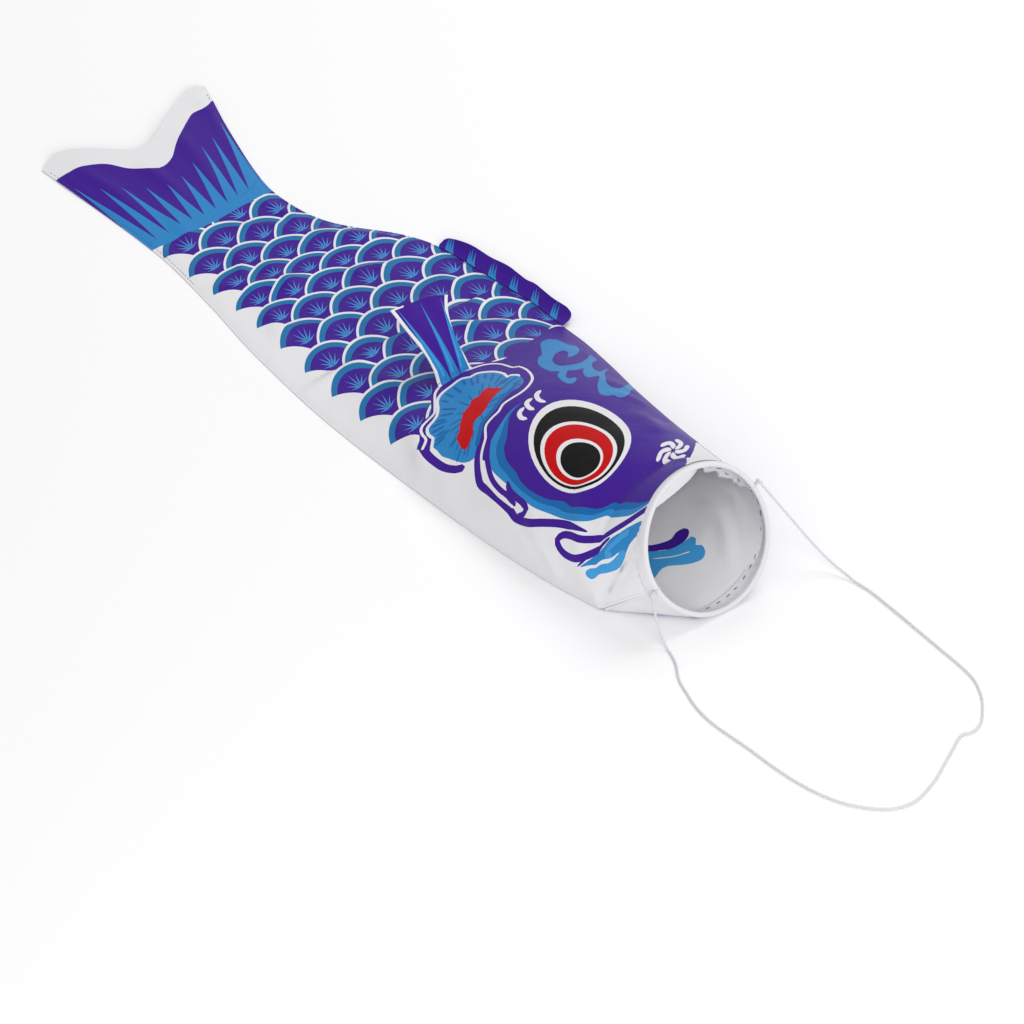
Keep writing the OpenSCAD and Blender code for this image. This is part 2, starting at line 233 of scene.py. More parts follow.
def add_bump(nodes, links, height, strength, distance):
    bump = set_inputs(nodes.new("ShaderNodeBump"), Strength=strength, Distance=distance)
    links.new(height, bump.inputs["Height"])
    return bump


def vary_roughness(nodes, links, shader, noise, low, high):
    spread = set_inputs(nodes.new("ShaderNodeMapRange"), To_Min=low, To_Max=high)
    links.new(noise.outputs["Fac"], spread.inputs["Value"])
    links.new(spread.outputs["Result"], shader.inputs["Roughness"])


WEAVE_PER_M, WEFT_RATIO = 2600, 0.82
SATIN_ROUGHNESS = 0.4


def satin(name, rgb):
    """Woven satin polyester: a fine weave, slubs and soft crinkles, with a sheen."""
    mat, nodes, links, shader = new_material(name, rgb, SATIN_ROUGHNESS, sheen=0.01, specular=0.17)
    tint = tuple(0.35 + 0.65 * c for c in linear(rgb)[:3]) + (1,)
    set_inputs(shader, Anisotropic=0.35, Specular_Tint=tint)
    uv = nodes.new("ShaderNodeUVMap")
    uv.uv_map = "pattern"
    split = nodes.new("ShaderNodeSeparateXYZ")
    links.new(uv.outputs["UV"], split.inputs[0])
    weave = nodes.new("ShaderNodeMath")
    weave.operation = "MULTIPLY"
    for socket, axis, ratio in ((0, "X", 1.0), (1, "Y", WEFT_RATIO)):
        turn = nodes.new("ShaderNodeMath")
        turn.operation = "MULTIPLY"
        turn.inputs[1].default_value = WEAVE_PER_M * ratio * 2
        links.new(split.outputs[axis], turn.inputs[0])
        wave = nodes.new("ShaderNodeMath")
        wave.operation = "SINE"
        links.new(turn.outputs[0], wave.inputs[0])
        links.new(wave.outputs[0], weave.inputs[socket])
    slub = set_inputs(nodes.new("ShaderNodeTexNoise"), Scale=900, Detail=2)
    crinkle = set_inputs(nodes.new("ShaderNodeTexNoise"), Scale=55, Detail=3, Distortion=0.6)
    for noise in (slub, crinkle):
        links.new(uv.outputs["UV"], noise.inputs["Vector"])
    fine = add_bump(nodes, links, weave.outputs[0], strength=0.25, distance=0.00012)
    soft = add_bump(nodes, links, crinkle.outputs["Fac"], strength=0.35, distance=0.0016)
    links.new(fine.outputs["Normal"], soft.inputs["Normal"])
    links.new(soft.outputs["Normal"], shader.inputs["Normal"])
    vary_roughness(nodes, links, shader, slub, SATIN_ROUGHNESS - 0.07, SATIN_ROUGHNESS + 0.12)
    return mat


def fibre(name, rgb, scale, roughness=0.6, sheen=0.3, metallic=0.0):
    """Thread, cord, plastic or wire with a fine uneven surface."""
    mat, nodes, links, shader = new_material(name, rgb, roughness, metallic=metallic, sheen=sheen)
    where = nodes.new("ShaderNodeTexCoord")
    grain = set_inputs(nodes.new("ShaderNodeTexNoise"), Scale=scale, Detail=4)
    links.new(where.outputs["Object"], grain.inputs["Vector"])
    bump = add_bump(nodes, links, grain.outputs["Fac"], strength=0.4, distance=0.00015)
    links.new(bump.outputs["Normal"], shader.inputs["Normal"])
    vary_roughness(nodes, links, shader, grain, roughness - 0.1, roughness + 0.1)
    return mat


WHITE, PURPLE, BLUE, DEEP, LIGHT, RED, BLACK, TEAL = range(8)
CLOTH = [satin("cloth_white", (226, 225, 228)), satin("print_purple", (63, 28, 140)),
         satin("print_blue", (46, 130, 192)), satin("print_deep_blue", (28, 100, 166)),
         satin("print_light_blue", (66, 152, 212)), satin("print_red", (190, 6, 8)),
         satin("print_black", (17, 16, 19)), satin("print_teal", (34, 112, 164))]
HEM_CLOTH = satin("hem_cloth", (220, 219, 223))
CORD = fibre("bridle_cord", (212, 212, 216), 2500)
DARK_THREAD = fibre("hem_thread", (88, 74, 132), 4000)
WHITE_THREAD = fibre("seam_thread", (226, 224, 234), 4000)
PURPLE_THREAD = fibre("fin_thread", (76, 48, 140), 4000)
WIRE = fibre("hoop_wire", (150, 152, 158), 800, roughness=0.32, sheen=0, metallic=1.0)
SLEEVE = fibre("sleeve_plastic", (230, 230, 228), 300, roughness=0.45, sheen=0)

# ---- bridle cord
CORD_WIDTH = 0.002
BRIDLE = [
    (-0.007, -0.044, 0.032), (-0.002, -0.046, 0.022), (0.005, -0.047, 0.010), (0.013, -0.048, 0.002),
    (0.021, -0.050, 0.001), (0.032, -0.055, 0.001), (0.046, -0.064, 0.001), (0.062, -0.070, 0.001),
    (0.078, -0.075, 0.001), (0.100, -0.078, 0.001), (0.136, -0.077, 0.001), (0.165, -0.077, 0.001),
    (0.192, -0.075, 0.001), (0.216, -0.070, 0.001), (0.234, -0.062, 0.001), (0.250, -0.049, 0.001),
    (0.257, -0.036, 0.001), (0.257, -0.021, 0.001), (0.249, 0.000, 0.001), (0.240, 0.016, 0.001),
    (0.230, 0.033, 0.001), (0.224, 0.043, 0.001), (0.222, 0.049, 0.001), (0.224, 0.056, 0.001),
    (0.222, 0.064, 0.001), (0.217, 0.071, 0.001), (0.206, 0.081, 0.001), (0.196, 0.088, 0.001),
    (0.181, 0.095, 0.001), (0.166, 0.098, 0.001), (0.140, 0.100, 0.001), (0.110, 0.102, 0.001),
    (0.080, 0.104, 0.001), (0.056, 0.105, 0.001), (0.042, 0.104, 0.001), (0.030, 0.103, 0.003),
    (0.016, 0.100, 0.008), (0.002, 0.095, 0.019), (-0.010, 0.087, 0.036), (-0.018, 0.077, 0.055),
    (-0.023, 0.070, 0.068)]
knot_low, knot_high = (np.mean(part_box(knot), axis=0) for knot in ("belly_tie_knot", "back_tie_knot"))
cord_line = smooth_line([knot_low - FOOT_M] + BRIDLE + [knot_high - FOOT_M], 0.0012) + FOOT_M
cord_line[:, 2] = np.maximum(cord_line[:, 2], CORD_WIDTH / 2 + 0.00005)
verts, faces = tube_mesh(cord_line, CORD_WIDTH / 2, 12, twist=1400, strands=3,
                         strand_depth=0.28)
bridle = make_mesh("bridle", verts, faces, [CORD])
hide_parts("bridle_cord")
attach(bridle, "bridle")

# ---- shape of the cloth
MOUTH_R, POCKET_R, CLOTH_T = 56.0, 2.0, 0.7
WIRE_RING = MOUTH_R - POCKET_R
LEAN_DEG = 23.5
LEAN = math.radians(LEAN_DEG)
MOUTH = FOOT + np.array([-16, 13, POCKET_R + WIRE_RING * math.cos(LEAN)])
BELLY_TIE, BACK_TIE, CREASE = 198.0, 20.7, 151.0
CORNER_S = 58.0
CORNER = FOOT + np.array([-52.0, -55.0, 0.0])
STACK = 2 * CLOTH_T + 0.2
BODY_LENGTH = 696.0
BACK_LANDING, EDGE_SPREAD, LEAN_FADE = 330.0, 222.0, 150.0
FLOOR_HOLD, BELLY_SLIP, BELLY_SLIP_S, LOFT = 6, 10.0, 300.0, 0.0012
BELLY_EDGE = [
    (58, -55), (110, -63), (180, -67), (330, -65), (430, -54), (500, -41), (570, -32), (714, -33)]
BACK_EDGE = [
    (0, 64.2), (60, 67.3), (110, 74), (150, 81.5), (180, 88.5), (222, 101), (260, 117), (300, 131),
    (345, 137), (380, 134), (447, 127), (474, 115.5), (500, 96.5), (520, 85), (545, 79), (580, 79.6),
    (640, 98), (714, 126)]
BACK_HEIGHT = [
    (0, 1), (60, 0.95), (110, 0.845), (150, 0.73), (180, 0.63), (222, 0.46), (260, 0.27), (300, 0.085),
    (322, 0.015), (345, 0), (400, 0), (720, 0)]
BACK_SHIFT = [
    (0, -19.5), (60, 3.7), (110, 18), (150, 26), (200, 31.5), (222, 31), (260, 19), (300, 6), (322, 1),
    (345, 0), (400, 0), (720, 0)]
PANEL_WIDTH = [
    (0, 173.5), (110, 186), (222, 199.5), (300, 204.5), (340, 203.8), (360, 200.3), (380, 194),
    (400, 170), (440, 100), (714, 60)]
TAIL_EDGE = [
    (0, 1), (0.12, 1.008), (0.28, 0.986), (0.44, 0.961), (0.54, 0.96), (0.68, 0.975), (0.84, 0.998),
    (0.94, 1.004), (1, 0.999)]


def round_mouth(degrees, radius=MOUTH_R):
    a = np.radians(degrees)
    return MOUTH + radius * stack_xyz(-np.sin(a) * math.sin(LEAN), np.cos(a),
                                      np.sin(a) * math.cos(LEAN))


def belly_line(s):
    s = np.asarray(s, float)
    near = mix(round_mouth(BELLY_TIE), CORNER, np.clip(s / CORNER_S, 0, 1)[..., None])
    far = stack_xyz(CORNER[0] + CORNER_S - s - BELLY_SLIP * ease((s - CORNER_S) / BELLY_SLIP_S),
                    FOOT[1] + curve_at(BELLY_EDGE, np.maximum(s, CORNER_S)), 0 * s)
    return np.where((s < CORNER_S)[..., None], near, far)


def back_line(s):
    s = np.asarray(s, float)
    return stack_xyz(CORNER[0] + CORNER_S - BELLY_SLIP - s + curve_at(BACK_SHIFT, s),
                     FOOT[1] + curve_at(BACK_EDGE, s),
                     round_mouth(BACK_TIE)[2] * np.maximum(0, curve_at(BACK_HEIGHT, s)))


def panel_width(s):
    s = np.asarray(s, float)
    chord = np.linalg.norm(back_line(s) - belly_line(s), axis=-1)
    cut = np.where(s < 440, curve_at(PANEL_WIDTH, np.minimum(s, 440)), 0)
    return np.maximum(cut, chord * (1 + LOFT))


def right_side(s, q):
    near, share = np.maximum(1e-6, 1 - s / CORNER_S), np.maximum(0, 1 - s / CORNER_S)
    top = (BELLY_TIE - CREASE) / (BELLY_TIE - BACK_TIE) * share
    tip = CORNER + np.array([0, 0, STACK])
    facet = mix(tip, round_mouth(BELLY_TIE - (BELLY_TIE - BACK_TIE) * q / near), share[:, None])
    f = np.clip((q - top) / (1 - top), 0, 1)[:, None]
    a = np.where((s < CORNER_S)[:, None], mix(tip, round_mouth(CREASE), share[:, None]),
                 belly_line(s) + np.array([0, 0, STACK]))
    b = back_line(s) + stack_xyz(0 * s, 0 * s, STACK * ease(s / EDGE_SPREAD))
    chord = np.linalg.norm(b - a, axis=1, keepdims=True)
    along = (b - a) / chord
    slack = 1 - np.minimum(chord[:, 0] / (curve_at(PANEL_WIDTH, s) * (1 - top)), 1 - LOFT)
    half = np.sqrt(6 * slack + 1.8 * slack**2)[:, None]
    lean = LEAN * np.maximum(0, 1 - s / LEAN_FADE)
    up = stack_xyz(-np.sin(lean), 0 * s, np.cos(lean))
    out = unit(up - along * (up * along).sum(1, keepdims=True))
    turn = half * (2 * f - 1)
    arch = a + chord / 2 * ((1 + np.sin(turn) / np.sin(half)) * along
                            + (np.cos(turn) - np.cos(half)) / np.sin(half) * out)
    return np.where((q < top)[:, None], facet, arch)


def left_side(s, q):
    near = np.maximum(0, 1 - s / CORNER_S)
    sweep = 360 + BACK_TIE - BELLY_TIE
    low = (270 - BELLY_TIE) / sweep * near
    facet = mix(CORNER, round_mouth(BELLY_TIE + sweep * q / np.maximum(near, 1e-6)), near[:, None])
    f = np.clip((q - low) / (1 - low), 0, 1)
    a = np.where((s < CORNER_S)[:, None], mix(CORNER, round_mouth(270.0), near[:, None]), belly_line(s))
    b = back_line(s)
    turn = np.radians(270 + (90 + BACK_TIE) * f)
    flat = ease(s / BACK_LANDING)
    across = mix(np.cos(turn) / math.cos(math.radians(BACK_TIE)), f, flat)
    rise = mix((1 + np.sin(turn)) / (1 + math.sin(math.radians(BACK_TIE))), f**FLOOR_HOLD, flat)
    place = stack_xyz(mix(a[:, 0], b[:, 0], rise), mix(a[:, 1], b[:, 1], across),
                      mix(a[:, 2], b[:, 2], rise))
    return np.where((q < low)[:, None], facet, place)


# Folds: (from s, from w, to s, to w, half width, height), with outwards as positive. The left
# panel lies on the floor, so its folds go inwards.
RIGHT_FOLDS = [
    (56, 3, 6, 44, 3.0, 0.8), (512, 4, 470, 86, 6, 1.4), (462, 96, 446, 150, 4.5, 1.4),
    (404, 118, 388, 168, 5, 1.2), (352, 128, 330, 186, 6, 1.2), (446, 20, 420, 70, 5, 0.9),
    (232, 8, 300, 40, 7, 1.1), (90, 6, 140, 34, 6, 1.1), (556, 60, 530, 100, 4, 1.0),
    (62, 8, 118, 96, 9, 1.1), (70, 20, 160, 40, 10, 1.2), (110, 14, 190, 24, 8, 1.2),
    (200, 10, 262, 22, 9, 1.0), (205, 188, 226, 164, 10, 0.8), (268, 196, 296, 140, 11, 0.5),
    (180, 182, 206, 156, 9, 0.9), (300, 60, 352, 44, 8, 1.2), (330, 150, 372, 120, 7, 1.2),
    (372, 176, 420, 150, 7, 1.1), (420, 20, 470, 30, 8, 1.0), (466, 160, 520, 84, 7, 1.3),
    (452, 60, 520, 50, 8, 1.0), (498, 30, 536, 46, 6, 1.1), (520, 104, 566, 92, 5, 1.0),
    (556, 24, 600, 30, 6, 0.8), (596, 80, 670, 96, 7, 1.0), (600, 54, 660, 50, 6, 0.9),
    (612, 118, 690, 136, 6, 0.9), (606, 20, 690, 14, 6, 0.9), (20, 120, 70, 132, 8, 1.1),
    (118, 150, 168, 158, 9, 1.0)]
LEFT_FOLDS = [
    (30, 30, 110, 20, 7, -0.9), (20, 90, 90, 110, 8, -1.2), (40, 130, 120, 140, 8, -1.2),
    (150, 60, 220, 80, 9, -0.5), (480, 60, 540, 50, 8, -0.4), (600, 60, 670, 70, 7, -0.4)]
FOLD_GAIN, RIPPLE_HEIGHT = 1.9, 0.16
SEAM_CLOSING, FOLD_MARGIN = 7, 9
RIGHT_CLOSING = 0.53
ABOVE_FLOOR = 0.03
TAIL_WAVE_FROM, TAIL_WAVE = 640, 0.96


def fold_height(s, w, folds):
    out = np.zeros_like(s)
    for s0, w0, s1, w1, half, height in folds:
        d = np.array([s1 - s0, w1 - w0], float)
        length = np.linalg.norm(d)
        d /= length
        along = ((s - s0) * d[0] + (w - w0) * d[1]) / length
        off = (s - s0) * d[1] - (w - w0) * d[0] + 4 * np.sin(along * 2.6)
        out += FOLD_GAIN * height * np.exp(-(off / half) ** 2) * np.exp(-((along - 0.5) / 0.42) ** 4)
    return out


def ripple(s, w):
    """Slight unevenness of thin cloth: never negative, in millimetres."""
    return RIPPLE_HEIGHT * (1 + np.sin(s / 9.5 + 1.7 * np.sin(w / 21))
                            * np.sin(w / 8.3 + 1.3 * np.sin(s / 26)))


def plain_surface(right, s, w):
    """Outer face of a panel without folds. The two panels' edges close up at the seams."""
    width = panel_width(s)
    q = np.clip(w / width, 0, 1)
    p = right_side(s, q) if right else left_side(s, q)
    gap = np.where(w < width / 2, STACK * np.clip(s / CORNER_S, 0, 1), STACK * ease(s / EDGE_SPREAD))
    closing = 1 - ease(np.minimum(w, width - w) / SEAM_CLOSING)
    p[:, 2] -= (RIGHT_CLOSING if right else 0) * gap * closing
    return p


def surface_normal(right, s, w, surface, d=0.6):
    width = panel_width(s)
    ds = surface(right, s + d, w) - surface(right, s - d, w)
    dw = surface(right, s, np.minimum(w + d, width)) - surface(right, s, np.maximum(w - d, 0))
    return unit(np.cross(dw, ds) if right else np.cross(ds, dw))


def folded_surface(right, s, w):
    width = panel_width(s)
    edge = ease(np.minimum(w, width - w) / FOLD_MARGIN) * ease(s / 26)
    height = fold_height(s, w, RIGHT_FOLDS if right else LEFT_FOLDS) * edge
    height = height + ripple(s, w) * edge * (1 if right else -1)
    p = plain_surface(right, s, w) + surface_normal(right, s, w, plain_surface) * height[:, None]
    # the tail's free edge waves a little, off the floor
    p[:, 2] += TAIL_WAVE * ease((s - TAIL_WAVE_FROM) / 50) * (1 + np.sin(w / 9.0 + s / 30))
    p[:, 2] = np.maximum(p[:, 2], ABOVE_FLOOR)
    return p


# ---- the print
# Scales: rows along the body at even steps; ROW_S is where each half step's scale is centred
ROW_S = [600, 584, 569, 554, 539, 525, 511, 498, 486, 474, 461, 447, 431, 415, 399, 381, 363, 345,
         327, 309, 291, 273, 255, 237]
STEPS = -3 + np.arange(len(ROW_S))
ROW_BASE = [(240, 36), (309, 37), (380, 39), (430, 38), (477, 32), (510, 26), (560, 21), (620, 18)]
ROW_PITCH = [(240, 27), (400, 27), (460, 25.4), (560, 25.6), (620, 25.6)]
SCALE_BACK = 6.5
ROW_SLANT = 2.5
SCALE_ROWS = range(-2, 9)
WHITE_LINE, TEAL_LINE = 0.93, 0.77
NO_SCALE = -99
ARC_HALF, ARC_POINTS, JUST_INSIDE = 1.75, 27, 0.995
# The rays of a scale: (direction, length), from a foot at RAY_FOOT
SCALE_RAYS = [
    (-1.3, 0.30), (-0.86, 0.40), (-0.44, 0.47), (0.0, 0.5), (0.42, 0.47), (0.84, 0.42), (1.26, 0.34)]
RAY_FOOT, RAY_WIDEST, RAY_HALF = 0.20, 0.32, 0.02


def row_base_and_pitch(s):
    s = np.clip(s, 240, 620)
    return curve_at(ROW_BASE, s), curve_at(ROW_PITCH, s)


def to_lattice(s, w):
    base, pitch = row_base_and_pitch(s)
    row = (w - base) / pitch
    at = s - ROW_SLANT * row + SCALE_BACK
    return np.interp(-at, [-v for v in ROW_S], STEPS), row


def from_lattice(step, row):
    s = np.interp(step, STEPS, ROW_S) + ROW_SLANT * row - SCALE_BACK
    base, pitch = row_base_and_pitch(s)
    return s, base + pitch * row


def scale_at(s, w):
    """The top scale at each point: its step, its row, and the place in it as (tailwards, across)."""
    step, row = to_lattice(s, w)
    found = np.full(len(s), NO_SCALE)
    in_row, u_best, v_best = found.copy(), np.zeros(len(s)), np.zeros(len(s))
    for k in STEPS[::-1]:
        for j in SCALE_ROWS:
            if (k + j) % 2:
                continue
            u, v = (k - step) / 2, row - j
            hit = (found == NO_SCALE) & (u * u + v * v <= 1)
            found[hit], in_row[hit], u_best[hit], v_best[hit] = k, j, u[hit], v[hit]
    return found, in_row, u_best, v_best


def scale_colour(s, w):
    k, j, u, v = scale_at(s, w)
    r = np.hypot(u, v)
    colour = np.where(r > WHITE_LINE, WHITE, np.where(r > TEAL_LINE, TEAL, PURPLE))
    return np.where((j < 0) | (k == NO_SCALE), WHITE, colour)


def scale_lines():
    """The visible arcs of the scales, and the rays in them."""
    lines, rays = [], []
    a = np.linspace(-ARC_HALF, ARC_HALF, ARC_POINTS)
    for k in STEPS:
        for j in SCALE_ROWS:
            if (k + j) % 2 or j < -1:
                continue
            for radius in (1.0, WHITE_LINE, TEAL_LINE) if j >= 0 else (1.0,):
                u, v = radius * np.cos(a), radius * np.sin(a)
                s, w = from_lattice(k - 2 * u, j + v)
                ks, js, _, _ = scale_at(*from_lattice(k - 2 * u * JUST_INSIDE, j + v * JUST_INSIDE))
                shown = (ks == k) & (js == j)
                shown[1:-1] |= shown[2:] | shown[:-2]
                lines += [[(s[i], w[i]), (s[i + 1], w[i + 1])] for i in range(len(a) - 1)
                          if shown[i] and shown[i + 1]]
            if j < 0:
                continue
            for angle, reach in SCALE_RAYS:
                cu, cv = math.cos(angle), math.sin(angle)
                wide = RAY_WIDEST * reach
                points = [(RAY_FOOT, 0),
                          (RAY_FOOT + wide * cu - RAY_HALF * cv, wide * cv + RAY_HALF * cu),
                          (RAY_FOOT + reach * cu, reach * cv),
                          (RAY_FOOT + wide * cu + RAY_HALF * cv, wide * cv - RAY_HALF * cu)]
                rays.append((LIGHT, np.array([from_lattice(k - 2 * u, j + v) for u, v in points],
                                             float)))
    return lines, rays


def stroke(points, width, step=3.0, taper=(1, 1)):
    """Outline of a brush stroke along points."""
    line = smooth_line(points, step)
    n = len(line)
    d = unit(np.gradient(line, axis=0))
    off = np.stack([-d[:, 1], d[:, 0]], 1)
    t = np.linspace(0, 1, n)
    half = width / 2 * np.minimum(1, np.minimum(taper[0] + t * 6, taper[1] + (1 - t) * 6))
    left, right = line + off * half[:, None], line - off * half[:, None]
    tip_a, tip_b = line[0] - d[0] * half[0] * 0.8, line[-1] + d[-1] * half[-1] * 0.8
    return np.concatenate([[tip_a], left, [tip_b], right[::-1]])


def blob(points, step=3.0):
    """Closed outline of a printed shape."""
    return smooth_line(points, step, closed=True)


def disc(centre, across, upward, count=44):
    """Outline of an ellipse from its centre and two half axes."""
    a = 2 * math.pi * np.arange(count)[:, None] / count
    return np.array(centre) + np.cos(a) * np.array(across) + np.sin(a) * np.array(upward)


HEAD_EDGE = [
    (316, 215), (315, 197), (311, 184), (305, 171), (301, 160), (296, 145), (291, 133), (289, 122),
    (297, 108), (302, 92), (301, 76), (296, 66), (288, 59), (277, 51), (275, 43), (271, 36), (264, 31),
    (256, 24)]
CHEEK_OUT = [
    (226, 99), (224, 87), (217, 72), (210, 59), (201, 51), (190, 46), (170, 45), (154, 44), (136, 44),
    (118, 47), (102, 50), (86, 55), (76, 60), (68, 66), (60, 70), (42, 66), (25, 63), (12, 65), (2, 69)]
CHEEK_IN = [
    (226, 99), (221, 86), (211, 77), (203, 71), (197, 64), (188, 59), (180, 57), (171, 56), (162, 53),
    (149, 52), (131, 54), (121, 57), (112, 60), (102, 60), (89, 65), (75, 70), (68, 76), (62, 81),
    (46, 79), (18, 71), (2, 70)]
MARGIN = [(0, 100), (8, 112), (32, 129), (56, 146), (74, 159), (92, 171), (108, 184), (116, 215)]
TAIL_FIELD = [
    (680, -6), (680, 8), (677, 22), (668, 36), (654, 45), (642, 57), (640, 66), (644, 77), (653, 88),
    (662, 101), (670, 113), (676, 124), (675, 135), (679, 146), (668, 150), (640, 150), (570, 130)]
TAIL_ROOT = [(574, -6), (570, 12), (569, 26), (567, 42), (567, 62), (569, 86), (572, 130)]
RAY_TIPS = [
    (664, 3), (650, 15), (641, 27), (629, 40), (621, 53), (623, 68), (630, 84), (641, 102), (646, 116),
    (656, 132)]
RAY_FEET = [
    (579, -2), (578, 9), (578, 20), (578, 31), (578, 42), (577, 52), (577, 63), (577, 74), (579, 85),
    (580, 96), (588, 112)]
GILL_LINE_A = [
    (254, 26), (259, 33), (264, 34), (269, 36), (272, 40), (273, 46), (274, 52), (280, 57), (287, 62),
    (293, 67), (297, 76), (298, 90), (295, 102), (292, 111), (288, 116), (283, 119), (278, 120),
    (272, 121), (270, 125), (262, 126), (253, 124), (246, 120), (240, 112), (237, 104), (236, 95),
    (235, 88), (231, 82), (230, 76), (228, 69), (224, 65), (218, 61), (214, 56), (209, 50), (203, 45),
    (196, 40), (189, 37), (181, 36), (171, 35), (162, 35), (154, 35)]
GILL_OUTER = [
    (221, 57), (211, 48), (202, 40), (192, 33), (181, 33), (168, 33), (155, 32), (147, 30), (139, 31),
    (130, 34), (120, 39), (106, 45), (92, 49), (75, 52)]
GILL_INNER = [(214, 61), (204, 52), (195, 46), (185, 41), (174, 39), (164, 39), (154, 37)]
GILL_HOOK = [(172, 47), (166, 43), (157, 42), (148, 42), (141, 40), (141, 36), (145, 32)]
GILL_FOOT = [(258, 28), (248, 25.5), (239, 25), (228, 26), (219, 30), (215, 34)]
FAN_SHADE = [(250, 110), (245, 101), (241, 90), (236, 80), (232, 68), (226, 61), (219, 53)]
FAN = [
    (212, 44), (216, 38), (223, 35), (230, 33), (237, 31), (244, 32), (249, 32), (252, 35), (255, 38),
    (261, 38), (266, 41), (267, 46), (269, 52), (274, 57), (283, 63), (287, 70), (288, 79), (289, 88),
    (285, 93), (285, 99), (281, 104), (276, 108), (269, 110), (262, 109), (262, 113), (258, 116),
    (252, 116), (247, 113), (244, 106), (245, 100), (244, 93), (242, 88), (238, 82), (235, 76),
    (234, 69), (230, 63), (225, 59), (221, 57), (217, 51)]
RED_BLOTCH = [
    (253, 99), (257, 96), (262, 93), (262, 87), (259, 83), (260, 77), (256, 72), (254, 65), (250, 61),
    (247, 57), (243, 54), (240, 50), (238, 47), (233, 46), (228, 44), (224, 45), (225, 50), (228, 54),
    (230, 58), (235, 61), (239, 65), (240, 72), (243, 79), (247, 85), (250, 92)]
CLOUD = [
    (293, 163), (296, 167), (298, 173), (297, 178), (294, 181), (286, 182), (284, 183), (283, 187),
    (279, 187), (275, 184), (271, 179), (268, 173), (267, 167), (273, 172), (276, 172), (277, 169),
    (274, 161), (270, 156), (265, 151), (260, 149), (257, 149), (254, 152), (254, 162), (256, 169),
    (259, 175), (264, 183), (269, 190), (262, 191), (259, 185), (254, 179), (248, 175), (244, 174),
    (242, 177), (246, 184), (250, 192), (245, 186), (240, 180), (230, 173), (223, 168), (218, 167),
    (214, 168), (212, 171), (213, 175), (218, 182), (225, 190), (233, 200), (224, 198), (215, 187),
    (209, 181), (200, 174), (194, 167), (193, 163), (194, 160), (198, 159), (198, 155), (200, 152),
    (205, 151), (212, 154), (218, 157), (224, 162), (234, 170), (232, 160), (234, 158), (238, 159),
    (243, 162), (247, 166), (245, 156), (246, 151), (240, 145), (237, 143), (234, 144), (234, 149),
    (230, 147), (227, 143), (226, 140), (229, 137), (235, 137), (242, 139), (247, 144), (250, 139),
    (257, 137), (264, 138), (269, 141), (274, 146), (277, 151), (287, 158)]
MOUTH_LOOP = [
    (-4, 66), (14, 61), (28, 58), (45, 56), (57, 54), (68, 49), (78, 45), (89, 43), (97, 40), (100, 35),
    (96, 31), (89, 29), (80, 30), (72, 34), (63, 41), (54, 48), (46, 51)]
LIP_UPPER = [
    (72, 27), (66, 34), (58, 42), (50, 46), (44, 50), (33, 52), (18, 54), (-4, 55), (-4, 46), (8, 45),
    (18, 40), (24, 33), (31, 37), (38, 35), (52, 36), (63, 32)]
LIP_LOWER = [
    (67, 24), (64, 29), (53, 33), (41, 32), (33, 35), (28, 38), (22, 35), (27, 28), (33, 25), (44, 25),
    (54, 26), (62, 22)]
FAR_PURPLE = [
    (92, 54), (84, 59), (79, 65), (77, 70), (79, 76), (77, 82), (72, 82), (68, 77), (67, 71), (69, 63),
    (75, 58), (80, 53), (88, 48)]
FAR_BLUE = [
    (88, 48), (80, 54), (70, 62), (67, 71), (66, 78), (61, 78), (57, 74), (53, 78), (47, 78), (44, 74),
    (46, 68), (51, 60), (57, 52), (60, 47), (58, 41), (54, 32), (64, 32), (78, 40)]


def swirl(centre, across, upward, petals=6):
    """A generic wind wheel of comma petals."""
    out = []
    for i in range(petals):
        turn = 2 * math.pi * i / petals + 0.5
        line = [(r * math.cos(turn + twist), r * math.sin(turn + twist))
                for r, twist in ((0.14, 0), (0.42, 0.1), (0.72, 0.4), (0.92, 0.9))]
        petal = stroke(line, 0.3, step=0.12, taper=(0.2, 0.85))
        out.append(np.array(centre) + petal[:, :1] * np.array(across) + petal[:, 1:] * np.array(upward))
    return out


def ray_shape(foot_a, foot_b, tip, pinch=0.42):
    """A tapered ray with hollow sides between two feet and a tip."""
    a, b, t = (np.array(v, float) for v in (foot_a, foot_b, tip))
    middle = (a + b) / 2
    sides = []
    for foot in (a, b):
        bend = mix(middle, foot, 0.8) * (1 - pinch) + t * pinch
        sides.append([mix(mix(foot, bend, u), mix(bend, t, u), u) for u in np.linspace(0, 1, 7)])
    return np.array(sides[0] + sides[1][-2::-1])


# The eye's rings from the outside in: (colour, centre, half axis back, half axis up)
EYE = [(WHITE, (149.5, 102.5), (-35, 24), (48, 30)),
       (BLACK, (147, 100.5), (-32.5, 20.5), (42, 26.5)),
       (WHITE, (139.5, 95.5), (-28, 17.5), (32, 20)),
       (RED, (138.5, 94.8), (-25.5, 15.5), (29.5, 18.8)),
       (WHITE, (132.8, 91.8), (-18.5, 10.5), (20, 12.7)),
       (BLACK, (131.5, 91.6), (-16, 9), (17.6, 11))]
BLOTCH_MIDDLE, FAN_MIDDLE = np.array([245, 74]), np.array([247, 74])
FAN_PLEATED = FAN[6:31]
CHEEK_CORNER = 16


